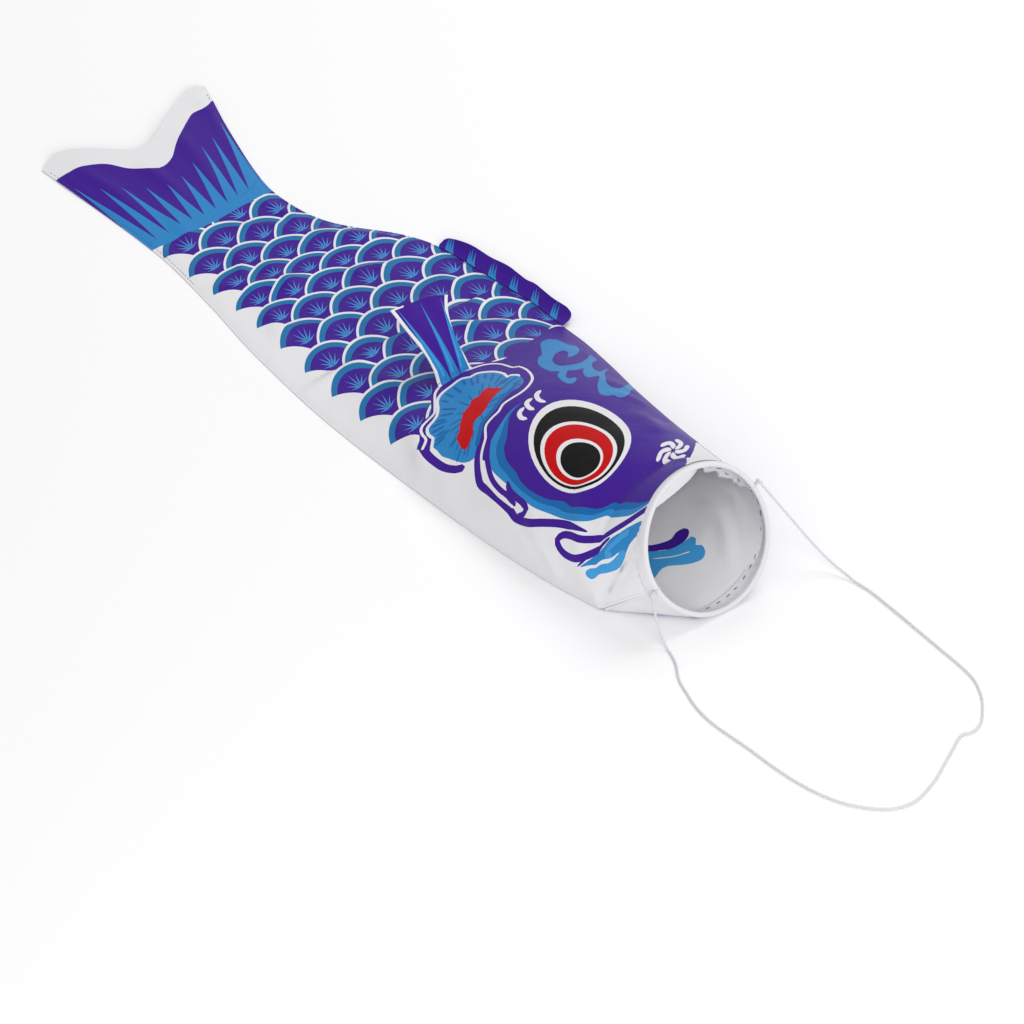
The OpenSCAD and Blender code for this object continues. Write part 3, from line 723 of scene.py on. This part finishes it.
def cheek_shapes():
    """The cheek band, its darker inner half, and the purple head that the band borders."""
    out_line, in_line = smooth_line(CHEEK_OUT, 3), smooth_line(CHEEK_IN, 3)
    last_in, last_out = len(in_line) - 1, len(out_line) - 1
    mid = (out_line + in_line[[round(i * last_in / last_out) for i in range(last_out + 1)]]) / 2
    gill_side = [(250, 27), (244, 45), (222, 50), (212, 50), (206, 47), (198, 49)]
    head = np.concatenate([smooth_line(HEAD_EDGE, 3), gill_side, out_line[CHEEK_CORNER:],
                           smooth_line(MARGIN, 3)])
    return [(PURPLE, head), (BLUE, np.concatenate([out_line, in_line[::-1]])),
            (DEEP, np.concatenate([mid, in_line[::-1]]))]


def head_shapes():
    shapes = cheek_shapes()
    shapes += [(PURPLE, stroke(GILL_OUTER, 6.0, taper=(1, 0.2))),
               (PURPLE, stroke(GILL_INNER, 4.2)),
               (PURPLE, stroke(GILL_HOOK, 5.0, taper=(0.3, 1))),
               (PURPLE, stroke(GILL_FOOT, 6.2)),
               (WHITE, stroke(GILL_LINE_A, 2.0)),
               (WHITE, stroke(FAN[2:26], 4.8)),
               (BLUE, blob(FAN)),
               (DEEP, stroke(FAN_SHADE, 3.4))]
    for i, edge in enumerate(RED_BLOTCH):
        away = unit(edge - BLOTCH_MIDDLE)
        reach = 9 + 3 * math.sin(i * 2.4)
        hair = [edge - away * 2, edge + away * reach * 0.5, edge + away * reach]
        shapes.append((DEEP, stroke(hair, 1.3, taper=(1, 0.1))))
    for i, rim in enumerate(FAN_PLEATED):
        inward = unit(FAN_MIDDLE - rim)
        pleat = [rim + inward * d for d in (1.6, 6.0, 12.0 + 3.0 * math.sin(i * 2.1))]
        shapes.append((DEEP, stroke(pleat, 2.1, step=2.0, taper=(0.5, 0.05))))
    shapes += [(RED, blob(RED_BLOTCH)), (BLUE, blob(CLOUD, 1.6))]
    for crescent in ([(220, 97), (217, 91), (211, 89), (206, 91)],
                     [(225, 107), (223, 101), (217, 99), (211, 100)],
                     [(230, 117), (226, 111), (219, 109), (213, 111)]):
        shapes.append((WHITE, stroke(crescent, 3.6, step=1.5, taper=(0.05, 0.1))))
    shapes += [(WHITE, petal) for petal in swirl((79, 144), (1, 15), (25, 14))]
    shapes += [(colour, disc(*ellipse)) for colour, *ellipse in EYE]
    return shapes


def mouth_shapes():
    return [(PURPLE, stroke(MOUTH_LOOP, 5.4, taper=(1, 0.5))),
            (PURPLE, stroke([(56, 47), (64, 40), (71, 31), (75, 26)], 1.8, taper=(1, 0.2))),
            (BLUE, blob(LIP_UPPER)), (LIGHT, blob(LIP_LOWER)),
            (LIGHT, stroke([(22, 50), (36, 46), (46, 41), (40, 36)], 5)),
            (WHITE, stroke([(62, 31), (50, 34.5), (38, 34.5), (31, 36.5)], 1.3)),
            (WHITE, stroke([(34, 52), (18, 55), (-4, 55.5)], 1.2))]


def far_mouth_shapes():
    # Painted light: the far panel's blue print, seen in the shaded inside of the mouth, is drawn in the
    # lighter blue to brighten it.
    return [(PURPLE, blob(FAR_PURPLE)), (LIGHT, blob(FAR_BLUE)),
            (WHITE, stroke([(73, 50), (65, 56), (60, 61), (56, 68)], 0.9, taper=(0.3, 0.3)))]


def tail_shapes():
    root, feet = smooth_line(TAIL_ROOT, 4), smooth_line(RAY_FEET, 4)
    shapes = [(PURPLE, np.concatenate([smooth_line(TAIL_FIELD, 4), root[::-1]])),
              (BLUE, np.concatenate([root, [(600, 124)], feet[::-1]]))]
    return shapes + [(BLUE, ray_shape(*ray)) for ray in zip(RAY_FEET, RAY_FEET[1:], RAY_TIPS)]


def inside(points, polygon):
    """Which points lie in a polygon."""
    x, y = points[:, 0], points[:, 1]
    hit = np.zeros(len(points), bool)
    near = ((x >= polygon[:, 0].min()) & (x <= polygon[:, 0].max())
            & (y >= polygon[:, 1].min()) & (y <= polygon[:, 1].max()))
    index = np.flatnonzero(near)
    if not len(index):
        return hit
    px, py = x[index], y[index]
    odd = np.zeros(len(index), bool)
    for (ax, ay), (bx, by) in zip(polygon, np.roll(polygon, -1, axis=0)):
        if ay == by:
            continue
        crosses = (ay > py) != (by > py)
        odd ^= crosses & (px < (bx - ax) * (py - ay) / (by - ay) + ax)
    hit[index] = odd
    return hit


def cut_print(outline, shapes, lines, ground, step, inner_shapes=()):
    """The pattern's triangles, cut along the print, and the colours of their two faces."""
    outline = np.asarray(outline, float)
    points, edges = [], []

    def add(polyline, closed):
        first = len(points)
        points.extend(map(tuple, polyline))
        n = len(polyline)
        edges.extend((first + i, first + (i + 1) % n) for i in range(n if closed else n - 1))

    low, high = outline.min(0) - 1, outline.max(0) + 1

    def touches(p):
        p = np.asarray(p)
        return (p.max(0) > low).all() and (p.min(0) < high).all()

    add(outline, True)
    for _, polygon in list(shapes) + list(inner_shapes):
        if touches(polygon):
            add(polygon, True)
    for line in lines:
        if touches(line):
            add(line, False)
    grid = []
    for i, x in enumerate(np.arange(low[0] + step / 2, high[0], step)):
        for y in np.arange(low[1] + (step / 2 if i % 2 else 0), high[1], step):
            grid.append((x, y))
    grid = np.array(grid)
    grid = grid[inside(grid, outline)]
    gap = np.min(np.linalg.norm(grid[:, None] - outline[None], axis=2), axis=1)
    grid = grid[gap > step * 0.35]
    points.extend(map(tuple, grid))
    v, _, f, *_ = delaunay_2d_cdt([Vector(p) for p in points], edges, [], 0, 1e-4, False)
    v = np.array([(p.x, p.y) for p in v])
    f = np.array([t for t in f if len(t) == 3])
    middle = v[f].mean(1)
    a, b = v[f[:, 1]] - v[f[:, 0]], v[f[:, 2]] - v[f[:, 0]]
    area = (a[:, 0] * b[:, 1] - a[:, 1] * b[:, 0]) / 2
    keep = inside(middle, outline) & (np.abs(area) > 1e-5)
    f, middle, area = f[keep], middle[keep], area[keep]
    f[area < 0] = f[area < 0][:, ::-1]
    colour = np.array(ground(middle))
    for number, polygon in shapes:
        colour[inside(middle, polygon)] = number
    inner_colour = np.full(len(middle), WHITE)
    for number, polygon in inner_shapes:
        inner_colour[inside(middle, polygon)] = number
    used = np.unique(f)
    order = np.full(len(v), -1)
    order[used] = np.arange(len(used))
    return v[used], order[f], colour, inner_colour


def cloth_piece(name, pattern, triangles, colours, inner_colours, outer, normal, thickness, flip):
    """A piece of cloth with an outer and an inner face and a closed rim."""
    n = len(pattern)
    inner = outer - normal * thickness
    front = triangles[:, ::-1] if flip else triangles
    back = front[:, ::-1] + n
    directed = np.concatenate([front[:, [0, 1]], front[:, [1, 2]], front[:, [2, 0]]])
    owner = np.tile(np.arange(len(front)), 3)
    pairs = {(int(a), int(b)) for a, b in directed}
    rim, rim_colour = [], []
    for (a, b), k in zip(directed, owner):
        if (int(b), int(a)) not in pairs:
            rim += [(b, a, a + n), (b, a + n, b + n)]
            rim_colour += [colours[k]] * 2
    rim_faces = np.array(rim)
    faces = np.concatenate([front, back, rim_faces])
    slots = np.concatenate([colours, inner_colours, np.array(rim_colour, int)])
    points = np.concatenate([outer, inner])
    obj = make_mesh(name, points * MM, faces, CLOTH, slots)
    corner = set_pattern_uv(obj, np.concatenate([pattern, pattern]) * MM)
    corner_normals = np.concatenate([normal, -normal])[corner]
    sides = points[rim_faces[:, 1:]] - points[rim_faces[:, :1]]
    rim_normals = unit(np.cross(sides[:, 0], sides[:, 1]))
    corner_normals[-3 * len(rim_faces):] = np.repeat(rim_normals, 3, axis=0)
    obj.data.normals_split_custom_set([tuple(v) for v in corner_normals])
    return obj


# ---- the six stretches of cloth
PARTS = ("head", "middle", "tail")
CUTS = [6.0, 150.0, 520.0, BODY_LENGTH]
GRID = 5.0
SHEET_T = 0.35
TAIL_ACROSS, HEAD_ACROSS = 39, 37
scale_edges, scale_rays = scale_lines()
scale_field = np.concatenate([smooth_line(HEAD_EDGE, 3), [(262, 14), (330, -8), (560, -8)],
                              smooth_line(TAIL_ROOT, 4), [(560, 215), (330, 225)]])


def body_ground(points):
    colour = np.full(len(points), WHITE)
    on = inside(points, scale_field)
    colour[on] = scale_colour(points[on, 0], points[on, 1])
    return colour


def in_scales(polygon):
    return inside(np.asarray(polygon, float)[[0, -1]], scale_field).any()


def stretch_outline(start, end):
    """Outline of a panel's stretch on the pattern."""
    last = end == BODY_LENGTH
    q = np.linspace(0, 1, TAIL_ACROSS)
    s_end = BODY_LENGTH * curve_at(TAIL_EDGE, q) if last else np.full(TAIL_ACROSS, end)
    up = np.stack([s_end, q * panel_width(s_end)], 1)
    steps = int((end - start) / GRID)
    belly = [(s, 0.0) for s in np.linspace(start, s_end[0], steps)]
    back_s = np.linspace(s_end[-1], start, steps)
    back = np.stack([back_s, panel_width(back_s)], 1)
    head = [(start, w) for w in np.linspace(back[-1, 1], 0, HEAD_ACROSS)]
    return np.concatenate([belly[:-1], up[:-1], back[:-1], head[:-1]])


# The CAD parts that each stretch of cloth stands in for, which are hidden
STANDS_FOR = {"head": [], "middle": ["{}_panel_front", "{}_panel_rear"], "tail": ["{}_tail"]}

marks = [ray for ray in scale_rays if in_scales(ray[1])]
marks += tail_shapes() + head_shapes() + mouth_shapes()
arc_lines = [line for line in scale_edges if in_scales(line)]
for side in ("right", "left"):
    right = side == "right"
    inner_marks = [] if right else far_mouth_shapes()
    for part, start, end in zip(PARTS, CUTS, CUTS[1:]):
        pattern, triangles, colours, inner_colours = cut_print(
            stretch_outline(start, end), marks, arc_lines, body_ground, GRID, inner_marks)
        s, w = pattern[:, 0], pattern[:, 1]
        outer = folded_surface(right, s, w)
        normal = surface_normal(right, s, w, folded_surface)
        piece = cloth_piece(f"{side}_cloth_{part}", pattern, triangles, colours, inner_colours,
                            outer, normal, SHEET_T, right)
        if STANDS_FOR[part]:
            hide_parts(*(node.format(side) for node in STANDS_FOR[part]))
        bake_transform(piece)

# ---- seam stitches
SEAM_R, SEAM_INSET = 0.17, 2.2
SEAM_PITCH, SEAM_STITCH, SEAM_SAMPLES = 3.6, 2.6, 260
SEAM_START, SEAM_TAIL_GAP = 12, 6


def stitch_row(line, pitch, length, radius):
    """Short dashes of thread along a line of points, in millimetres."""
    run = run_along(line)
    parts = []
    for start in np.arange(pitch / 2, run[-1] - length, pitch):
        at = np.linspace(start, start + length, 5)
        path = np.stack([np.interp(at, run, line[:, i]) for i in range(3)], 1)
        dip = np.array([0.35, 1, 1, 1, 0.35])
        parts.append(tube_mesh(path * MM, radius * MM * dip, 6))
    return parts


sewn_on = {(side, part): [] for side in ("right", "left") for part in PARTS}
for part, start, end in zip(PARTS, CUTS, CUTS[1:]):
    s = np.linspace(max(start, SEAM_START), end - (SEAM_TAIL_GAP if part == "tail" else 0),
                    SEAM_SAMPLES)
    for seam in ("belly", "back"):
        w = panel_width(s) - SEAM_INSET if seam == "back" else np.full(len(s), SEAM_INSET)
        rows = []
        for right in (True, False):
            lift = surface_normal(right, s, w, folded_surface) * SEAM_R * 0.5
            line = folded_surface(right, s, w) + lift
            line[:, 2] = np.maximum(line[:, 2], SEAM_R + 0.02)
            rows += stitch_row(line, SEAM_PITCH, SEAM_STITCH, SEAM_R)
        verts, faces = joined(rows)
        white = seam == "belly" and part != "tail"
        row = make_mesh(f"{seam}_seam_sewing_{part}", verts, faces,
                        [WHITE_THREAD if white else PURPLE_THREAD])
        if part == "middle":
            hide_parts(f"{seam}_thread_front", f"{seam}_thread_rear")
        if part == "tail":
            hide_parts(f"{seam}_thread_tail")
        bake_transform(row)
        sewn_on["right" if seam == "belly" else "left", part].append(row)

# ---- hem, its stitches and the knots
# HEM_AT: how far back the cloth is followed to find the way the hem lies
HEM_WIDTH, HEM_AT, HEM_STATIONS = 8.6, 15.5, 480


def hem_frame(degrees):
    """Wire centre, the way back along the cloth, and inwards, for angles round the mouth."""
    degrees = np.asarray(degrees, float)
    c = round_mouth(degrees, WIRE_RING)
    from_belly = (degrees - BACK_TIE) < (BELLY_TIE - BACK_TIE)
    q = np.where(from_belly, (BELLY_TIE - degrees) / (BELLY_TIE - BACK_TIE),
                 (degrees - BELLY_TIE) / (360 + BACK_TIE - BELLY_TIE))
    far, near = np.full(len(q), HEM_AT), np.zeros(len(q))
    along = np.where(from_belly[:, None], right_side(far, q) - right_side(near, q),
                     left_side(far, q) - left_side(near, q))
    to_centre = unit(MOUTH - c)
    tangent = np.cross([math.cos(LEAN), 0, math.sin(LEAN)], to_centre)
    back = unit(along - tangent * (along * tangent).sum(1, keepdims=True))
    inwards = unit(to_centre - back * (to_centre * back).sum(1, keepdims=True))
    return c, back, inwards


def hem_pucker(degrees, depth):
    """Gathers at the ties and small puckers between stitches; depth is 0 at the wire, 1 at the edge."""
    tie = sum(np.exp(-((degrees - t) / 11.0) ** 2) for t in (BACK_TIE, BACK_TIE + 360, BELLY_TIE))
    return depth * (0.14 + tie * 0.5) * np.sin(np.radians(degrees) * 60)


FLAP_WIDTH, FLAP_IN = 11.5, -0.95
SAG_AT, SAG_HALF, FLAP_SAG = 44, 27.0, 9.5
CURTAIN_AT, CURTAIN_HALF = 104.0, 38.0
CURTAIN_DEPTH = WIRE_RING * (1 - math.cos(math.radians(CURTAIN_HALF)))


def hem_sag(degrees):
    """Where the turned cloth hangs crumpled inside the mouth, near the back tie: 0 to 1."""
    d = (np.asarray(degrees) + 180) % 360 - 180
    return np.exp(-((d - SAG_AT) / SAG_HALF) ** 4) * (0.85 + 0.15 * np.sin(np.radians(d) * 22))


def hem_curtain(degrees):
    """How far inwards the turned cloth reaches where it is pulled straight across the wire."""
    d = (np.asarray(degrees) + 180) % 360 - 180 - CURTAIN_AT
    d = np.clip(d, -CURTAIN_HALF, CURTAIN_HALF)
    return WIRE_RING * (1 - math.cos(math.radians(CURTAIN_HALF)) / np.cos(np.radians(d)))


def hem_sway(degrees):
    """The wire isn't a perfect ring: a slight unevenness, in millimetres."""
    a = np.radians(degrees)
    return 0.35 + 0.35 * np.sin(3 * a + 0.8) * np.cos(2 * a)


def hem_place(place, degrees, x, y, depth, hang):
    """Hem points: x back from the wire, y inwards, the puckers' depth, share of the loose hang."""
    c, back, inwards = place
    sag, curtain = hem_sag(degrees), hem_curtain(degrees)
    reach = x * (1 - 0.75 * hang * curtain / CURTAIN_DEPTH) + FLAP_SAG * sag * hang
    rise = (y + hem_pucker(degrees, depth) + FLAP_SAG * sag * hang**2 + curtain * hang
            + hem_sway(degrees))
    return c + reach[:, None] * back + rise[:, None] * inwards


turn = BACK_TIE + 360 * np.arange(HEM_STATIONS) / HEM_STATIONS
outside = -POCKET_R - 0.2
STATION_MM, ROW_MM = 0.73, 1.1
# The hem's section, from its sewn edge outside, round the wire, to the flap inside and back:
# (x, y, depth, hang) as in hem_place
profile = [(HEM_WIDTH, -POCKET_R + 0.1, 0.4, 0), (HEM_WIDTH * 0.9, outside, 0.4, 0),
           (HEM_WIDTH * 0.6, outside, 0.3, 0), (HEM_WIDTH * 0.3, outside + 0.1, 0.1, 0)]
for a in np.radians(np.linspace(262, 60, 12)):
    profile.append((POCKET_R * math.cos(a), POCKET_R * math.sin(a), 0.1, 0))
profile += [(2.4, 0.9, 0.3, 0.08), (4.2, 0.1, 0.7, 0.25), (FLAP_WIDTH * 0.55, FLAP_IN + 0.2, 1, 0.5),
            (FLAP_WIDTH * 0.8, FLAP_IN + 0.1, 1, 0.8), (FLAP_WIDTH - 1.2, FLAP_IN, 1, 0.9),
            (FLAP_WIDTH - 0.3, FLAP_IN, 1, 1), (FLAP_WIDTH, FLAP_IN - 0.25, 1, 1),
            (FLAP_WIDTH - 0.4, FLAP_IN - 0.4, 1, 1), (FLAP_WIDTH * 0.75, FLAP_IN - 0.35, 1, 0.75),
            (FLAP_WIDTH * 0.55, FLAP_IN - 0.2, 1, 0.45), (5.0, -0.9, 0.7, 0.2),
            (HEM_WIDTH * 0.7, -POCKET_R + 0.5, 0.6, 0)]
mouth_place = hem_frame(turn)
count = len(profile)
verts = np.stack([hem_place(mouth_place, turn, *row) for row in profile], 1).reshape(-1, 3)
faces = []
for k in range(HEM_STATIONS):
    here, ahead = k * count, (k + 1) % HEM_STATIONS * count
    for j in range(count):
        beside = (j + 1) % count
        faces.append((here + j, ahead + j, ahead + beside, here + beside))
verts[:, 2] = np.maximum(verts[:, 2], ABOVE_FLOOR)
# the flap's edge is printed purple where it is pulled straight
edge_rows = [j for j, row in enumerate(profile) if row[3] == 1][:-1]
in_print = [curtain > 0.3 and j in edge_rows for curtain in hem_curtain(turn)
            for j in range(count)]
hem = make_mesh("mouth_hem_cloth", verts * MM, faces, [HEM_CLOTH, CLOTH[PURPLE]], in_print)
set_pattern_uv(hem, np.stack([np.repeat(np.arange(HEM_STATIONS) * STATION_MM, count),
                              np.tile(np.arange(count) * ROW_MM, HEM_STATIONS)], 1) * MM)
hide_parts("mouth_hem")
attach(hem, "mouth")

STITCHES, STITCH_LENGTH, STITCH_R = 34, 4.2, 0.33
IN_FLAP, BY_WIRE = (FLAP_WIDTH * 0.7, FLAP_IN + 0.35, 1, 0.7), (3.2, 1.0, 0.3, 0.1)
parts = []
for k in range(STITCHES):
    middle = BACK_TIE + 360 * (k + 0.5 + rng.uniform(-0.08, 0.08)) / STITCHES
    span = math.degrees(STITCH_LENGTH / WIRE_RING) / 2 * rng.uniform(0.85, 1.1)
    a = np.linspace(middle - span, middle + span, 6)
    seat = BY_WIRE if hem_curtain(middle) > 0.5 else IN_FLAP
    path = hem_place(hem_frame(a), a, *seat)
    parts.append(tube_mesh(path * MM, STITCH_R * MM * np.array([0.3, 0.9, 1, 1, 0.9, 0.3]), 7))
verts, faces = joined(parts)
hem_sewing = make_mesh("hem_sewing", verts, faces, [DARK_THREAD])
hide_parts("hem_stitches")
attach(hem_sewing, "mouth")
sewn_on["right", "head"] += [hem, hem_sewing]


def laid_cord(path, radius, sides, depth=0.22):
    """A piece of the cord with its three strands, along points in millimetres."""
    return tube_mesh(path * MM, radius * MM, sides, 2100, 3, depth)


def tie(name, degrees, node, lean):
    """A small overhand knot and the loop that ties it round the hem."""
    centre = np.mean(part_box(node), axis=0) / MM
    t = np.linspace(0, 2 * math.pi, 73)[:-1]
    knot = np.stack([np.sin(t) + 2 * np.sin(2 * t), np.cos(t) - 2 * np.cos(2 * t), -np.sin(3 * t)], 1)
    knot = knot @ np.array([[1, 0, 0], [0, math.cos(lean), math.sin(lean)],
                            [0, -math.sin(lean), math.cos(lean)]])
    knot = knot * 0.55 + centre
    shapes = [laid_cord(np.concatenate([knot, knot[:3]]), 0.85, 9)]
    on_wire, back, inwards = (v[0] for v in hem_frame(np.array([degrees])))
    t = np.linspace(0, 2 * math.pi, 41)[:, None]
    ring = on_wire + (2.9 * np.cos(t) + 0.8) * back + 2.9 * np.sin(t) * inwards
    shapes.append(laid_cord(ring, 0.8, 9))
    for sign in (-1, 1):
        end = centre + np.array([1.5, 2.6 * sign, -1.4])
        line = smooth_line([centre, (centre + end) / 2 + [0.6, 0, 0.5], end], 0.3)
        shapes.append(laid_cord(line, 0.75, 8, 0.2))
    v, f = joined(shapes)
    obj = make_mesh(name, v, f, [CORD])
    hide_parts(node)
    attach(obj, "mouth")


tie("belly_knot", BELLY_TIE, "belly_tie_knot", 0.6)
tie("back_knot", BACK_TIE, "back_tie_knot", 1.1)

for name, mat in (("mouth_hoop", WIRE), ("hoop_sleeve", SLEEVE)):
    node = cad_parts[name]
    node.data.materials.clear()
    node.data.materials.append(mat)

# ---- fins
FIN_T, LEFT_FIN_T = 0.9, 0.8
FIN_LENGTH, FIN_BASE, FIN_END = 63.0, 30.0, 48.0
FIN_GRID = 2.6
RIGHT_ROOT = FOOT + np.array([-297, 16.5, 0])
LEFT_ROOT = FOOT + np.array([-310, 27.3, 0])
FIN_RISE, FIN_Z, LEFT_FIN_Z = math.radians(32), 30.4, 1.08
# where the right fin's root lies across the panel, and how that grows with each millimetre of y
ROOT_SHARE, SHARE_PER_MM = 0.43, 0.0049


def fin_print(sweep):
    """Outline and print of a pectoral fin: (x behind its base, y across), in millimetres."""
    tip_back = (FIN_LENGTH * 0.86, sweep + FIN_END / 2)
    tip_belly = (FIN_LENGTH, sweep - FIN_END / 2)
    half = FIN_BASE / 2
    back_side = smooth_line([(-1, half), (20, half + sweep * 0.25), (40, half + 4 + sweep * 0.55),
                             tip_back], 3)
    free = smooth_line([tip_back, (FIN_LENGTH * 0.94, sweep + 8), (FIN_LENGTH * 0.97, sweep - 8),
                        tip_belly], 3)
    belly_side = smooth_line([tip_belly, (42, sweep * 0.6 - half - 5), (20, sweep * 0.25 - half),
                              (-1, -half)], 3)
    root = smooth_line([(-1, -half), (-1, half)], 3)
    outline = np.concatenate([back_side[:-1], free[:-1], belly_side[:-1], root[:-1]])
    shapes = [(WHITE, stroke(back_side, 5.2)), (WHITE, stroke(belly_side, 5.2)),
              (WHITE, stroke([tip_belly, (FIN_LENGTH * 0.98, sweep - 14)], 2.4))]
    for at, reach, foot in ((-0.8, 0.97, -8.0), (0.0, 0.93, 0.0), (0.72, 0.88, 8.0)):
        tip = np.array([FIN_LENGTH * reach, sweep + at * FIN_END / 2])
        light_tip = mix(np.array([4.0, foot]), tip, 0.8)
        shapes.append((BLUE, ray_shape((-3, foot - 4), (-3, foot + 4), tip, 0.5)))
        shapes.append((LIGHT, ray_shape((4, foot - 0.4), (4, foot + 1.6), light_tip, 0.5)))
    return outline, shapes


def fin_seat(x_row, y_row):
    """Height of the right panel's outer face at a place near the fin's root."""
    return right_side(FOOT[0] - x_row, ROOT_SHARE + SHARE_PER_MM * (y_row - RIGHT_ROOT[1]))[:, 2]


def right_fin_place(p):
    x, y = p[:, 0], p[:, 1]
    bow = np.sin(np.clip(x / FIN_LENGTH, 0, 1) * math.pi)
    billow = 1.6 * bow * np.cos(y / 18) + 0.35 * np.sin(y / 3.4 + x / 30) * ease(x / 20)
    plate = np.stack([RIGHT_ROOT[0] - x * math.cos(FIN_RISE) + billow * math.sin(FIN_RISE),
                      RIGHT_ROOT[1] + y * (1 - 0.07 * bow),
                      FIN_Z + x * math.sin(FIN_RISE) + billow * math.cos(FIN_RISE)], 1)
    sewn = plate.copy()
    sewn[:, 2] = fin_seat(plate[:, 0], plate[:, 1]) + 0.5
    return mix(sewn, plate, ease((x + 1) / 9)[:, None])


def left_fin_place(p):
    x, y = p[:, 0], p[:, 1]
    return np.stack([LEFT_ROOT[0] - x, LEFT_ROOT[1] + y,
                     LEFT_FIN_Z + 0.1 * np.sin(y / 3) * np.sin(x / 8)], 1)


def placed_normal(place, p, d=0.4):
    dx = place(p + [d, 0]) - place(p - [d, 0])
    dy = place(p + [0, d]) - place(p - [0, d])
    return unit(np.cross(dy, dx))


def fin_piece(name, print_of, place, node, thickness=FIN_T):
    """A fin from its (outline, shapes). Its node and its body share a name.
    """
    outline, shapes = print_of
    pattern, triangles, colours, _ = cut_print(outline, shapes, [],
                                               lambda m: np.full(len(m), PURPLE), FIN_GRID)
    outer, normal = place(pattern), placed_normal(place, pattern)
    piece = cloth_piece(name, pattern, triangles, colours, colours, outer, normal, thickness, True)
    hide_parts(node)
    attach(piece, node)


fin_piece("right_fin", fin_print(9), right_fin_place, "right_pectoral_fin")
fin_piece("left_fin", fin_print(0), left_fin_place, "left_pectoral_fin",
          LEFT_FIN_T)

# Dorsal fin: x runs forwards along the seam, y is height
DORSAL_FROM, DORSAL_TO = (FOOT[:2] + np.array(place) for place in ([-447, 131.3], [-318, 141.7]))
DORSAL_LENGTH = float(np.linalg.norm(DORSAL_TO - DORSAL_FROM))
DORSAL_RISE, DORSAL_Z = math.radians(40), 1.3
RUFFLE_HEIGHT = 18.0
DORSAL_INSET, DORSAL_LIFT, SEAM_ALLOWANCE = 0.9, 0.35, 0.003
seam_s = np.linspace(300, 460, 161)
seam_w = panel_width(seam_s) - DORSAL_INSET
seam_points = (folded_surface(True, seam_s, seam_w)
               + surface_normal(True, seam_s, seam_w, folded_surface) * DORSAL_LIFT)
seam_points = seam_points[np.argsort(seam_points[:, 0])]


def dorsal_place(p):
    x, y = p[:, 0], p[:, 1]
    d = (DORSAL_TO - DORSAL_FROM) / DORSAL_LENGTH
    ruffle = (1.2 * np.sin(x / 7.5) + 0.8 * np.sin(x / 17 + 1)) * ease(y / RUFFLE_HEIGHT)
    out = y * math.cos(DORSAL_RISE) - ruffle * math.sin(DORSAL_RISE)
    up = y * math.sin(DORSAL_RISE) + ruffle * math.cos(DORSAL_RISE)
    along_x = DORSAL_FROM[0] + x * d[0]
    plate = np.stack([along_x - out * d[1], DORSAL_FROM[1] + x * d[1] + out * d[0],
                      DORSAL_Z + up], 1)
    base = np.stack([along_x] + [np.interp(along_x, seam_points[:, 0], seam_points[:, k])
                                 for k in (1, 2)], 1)
    return mix(base, plate, ease((y + 0.6) / 7)[:, None])


top = smooth_line([(DORSAL_LENGTH, 0), (DORSAL_LENGTH - 1, 4), (DORSAL_LENGTH - 9, 8.4),
                   (DORSAL_LENGTH - 24, 8.8), (DORSAL_LENGTH - 44, 10.8), (76, 10), (58, 11.6),
                   (40, 10.2), (22, 10.4), (8, 8), (-1, 4.5), (0, 0)], 2.5)
outline = np.concatenate([smooth_line([(0, -0.6), (DORSAL_LENGTH, -0.6)], 2.5), top[1:-1]])
shapes = []
for k in range(6):
    root = 10 + k * 21.5
    shapes.append((BLUE, np.array([(root - 4, -0.3), (root + 4, -0.3), (root + 1.6, 2.6),
                                   (root - 5.6, 2.6)])))
    for j, reach in enumerate((7.0, 9.0, 8.0)):
        x0 = root + 2.5 * (j - 1) - 2.0
        shapes.append((BLUE, np.array([(x0 - 1.2, 2.4), (x0 + 1.2, 2.4),
                                       (x0 - 0.84 * (reach - 2.4), reach)])))
fin_piece("back_fin", (outline, shapes), dorsal_place, "dorsal_fin")


def fin_sewing(name, place, node):
    """Nine stitches across a pectoral fin's root."""
    parts = []
    for k in range(-4, 5):
        p = np.array([[2.0, k * 3.4 + along] for along in (-1.2, -0.4, 0.4, 1.2)])
        line = place(p) + placed_normal(place, p) * 0.15
        parts.append(tube_mesh(line * MM, 0.25 * MM * np.array([0.3, 1, 1, 0.3]), 6))
    v, f = joined(parts)
    obj = make_mesh(name, v, f, [PURPLE_THREAD])
    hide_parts(node)
    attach(obj, "body_front")


fin_sewing("right_fin_sewing", right_fin_place, "right_fin_stitches")
fin_sewing("left_fin_sewing", left_fin_place, "left_fin_stitches")

# ---- floor and light
bpy.ops.mesh.primitive_plane_add(size=40, location=(0, 0, -0.0002))
floor = bpy.context.object
floor.name = "floor"
floor_mat, nodes, links, shader = new_material("floor", (249, 249, 250), 0.8, specular=0.2)
grain = set_inputs(nodes.new("ShaderNodeTexNoise"), Scale=60)
bump = add_bump(nodes, links, grain.outputs["Fac"], strength=0.1, distance=0.0001)
links.new(bump.outputs["Normal"], shader.inputs["Normal"])
floor.data.materials.append(floor_mat)


def area_light(name, place, target, size, watts):
    light = bpy.data.lights.new(name, "AREA")
    light.shape = "DISK"
    light.size = size
    light.energy = watts
    obj = bpy.data.objects.new(name, light)
    obj.location = place
    obj.rotation_euler = (Vector(target) - Vector(place)).to_track_quat("-Z", "Y").to_euler()
    bpy.context.collection.objects.link(obj)


area_light("key", (-0.6, 1.6, 2.2), (0.1, 0, 0), size=1.8, watts=27)
area_light("fill", (2.1, -0.8, 1.3), (0.3, 0, 0.05), size=1.6, watts=25)
world = bpy.data.worlds.new("world")
bpy.context.scene.world = world
world.use_nodes = True
set_inputs(world.node_tree.nodes["Background"], Color=(1, 1, 1, 1), Strength=0.62)
bpy.context.scene.view_settings.view_transform = "Standard"
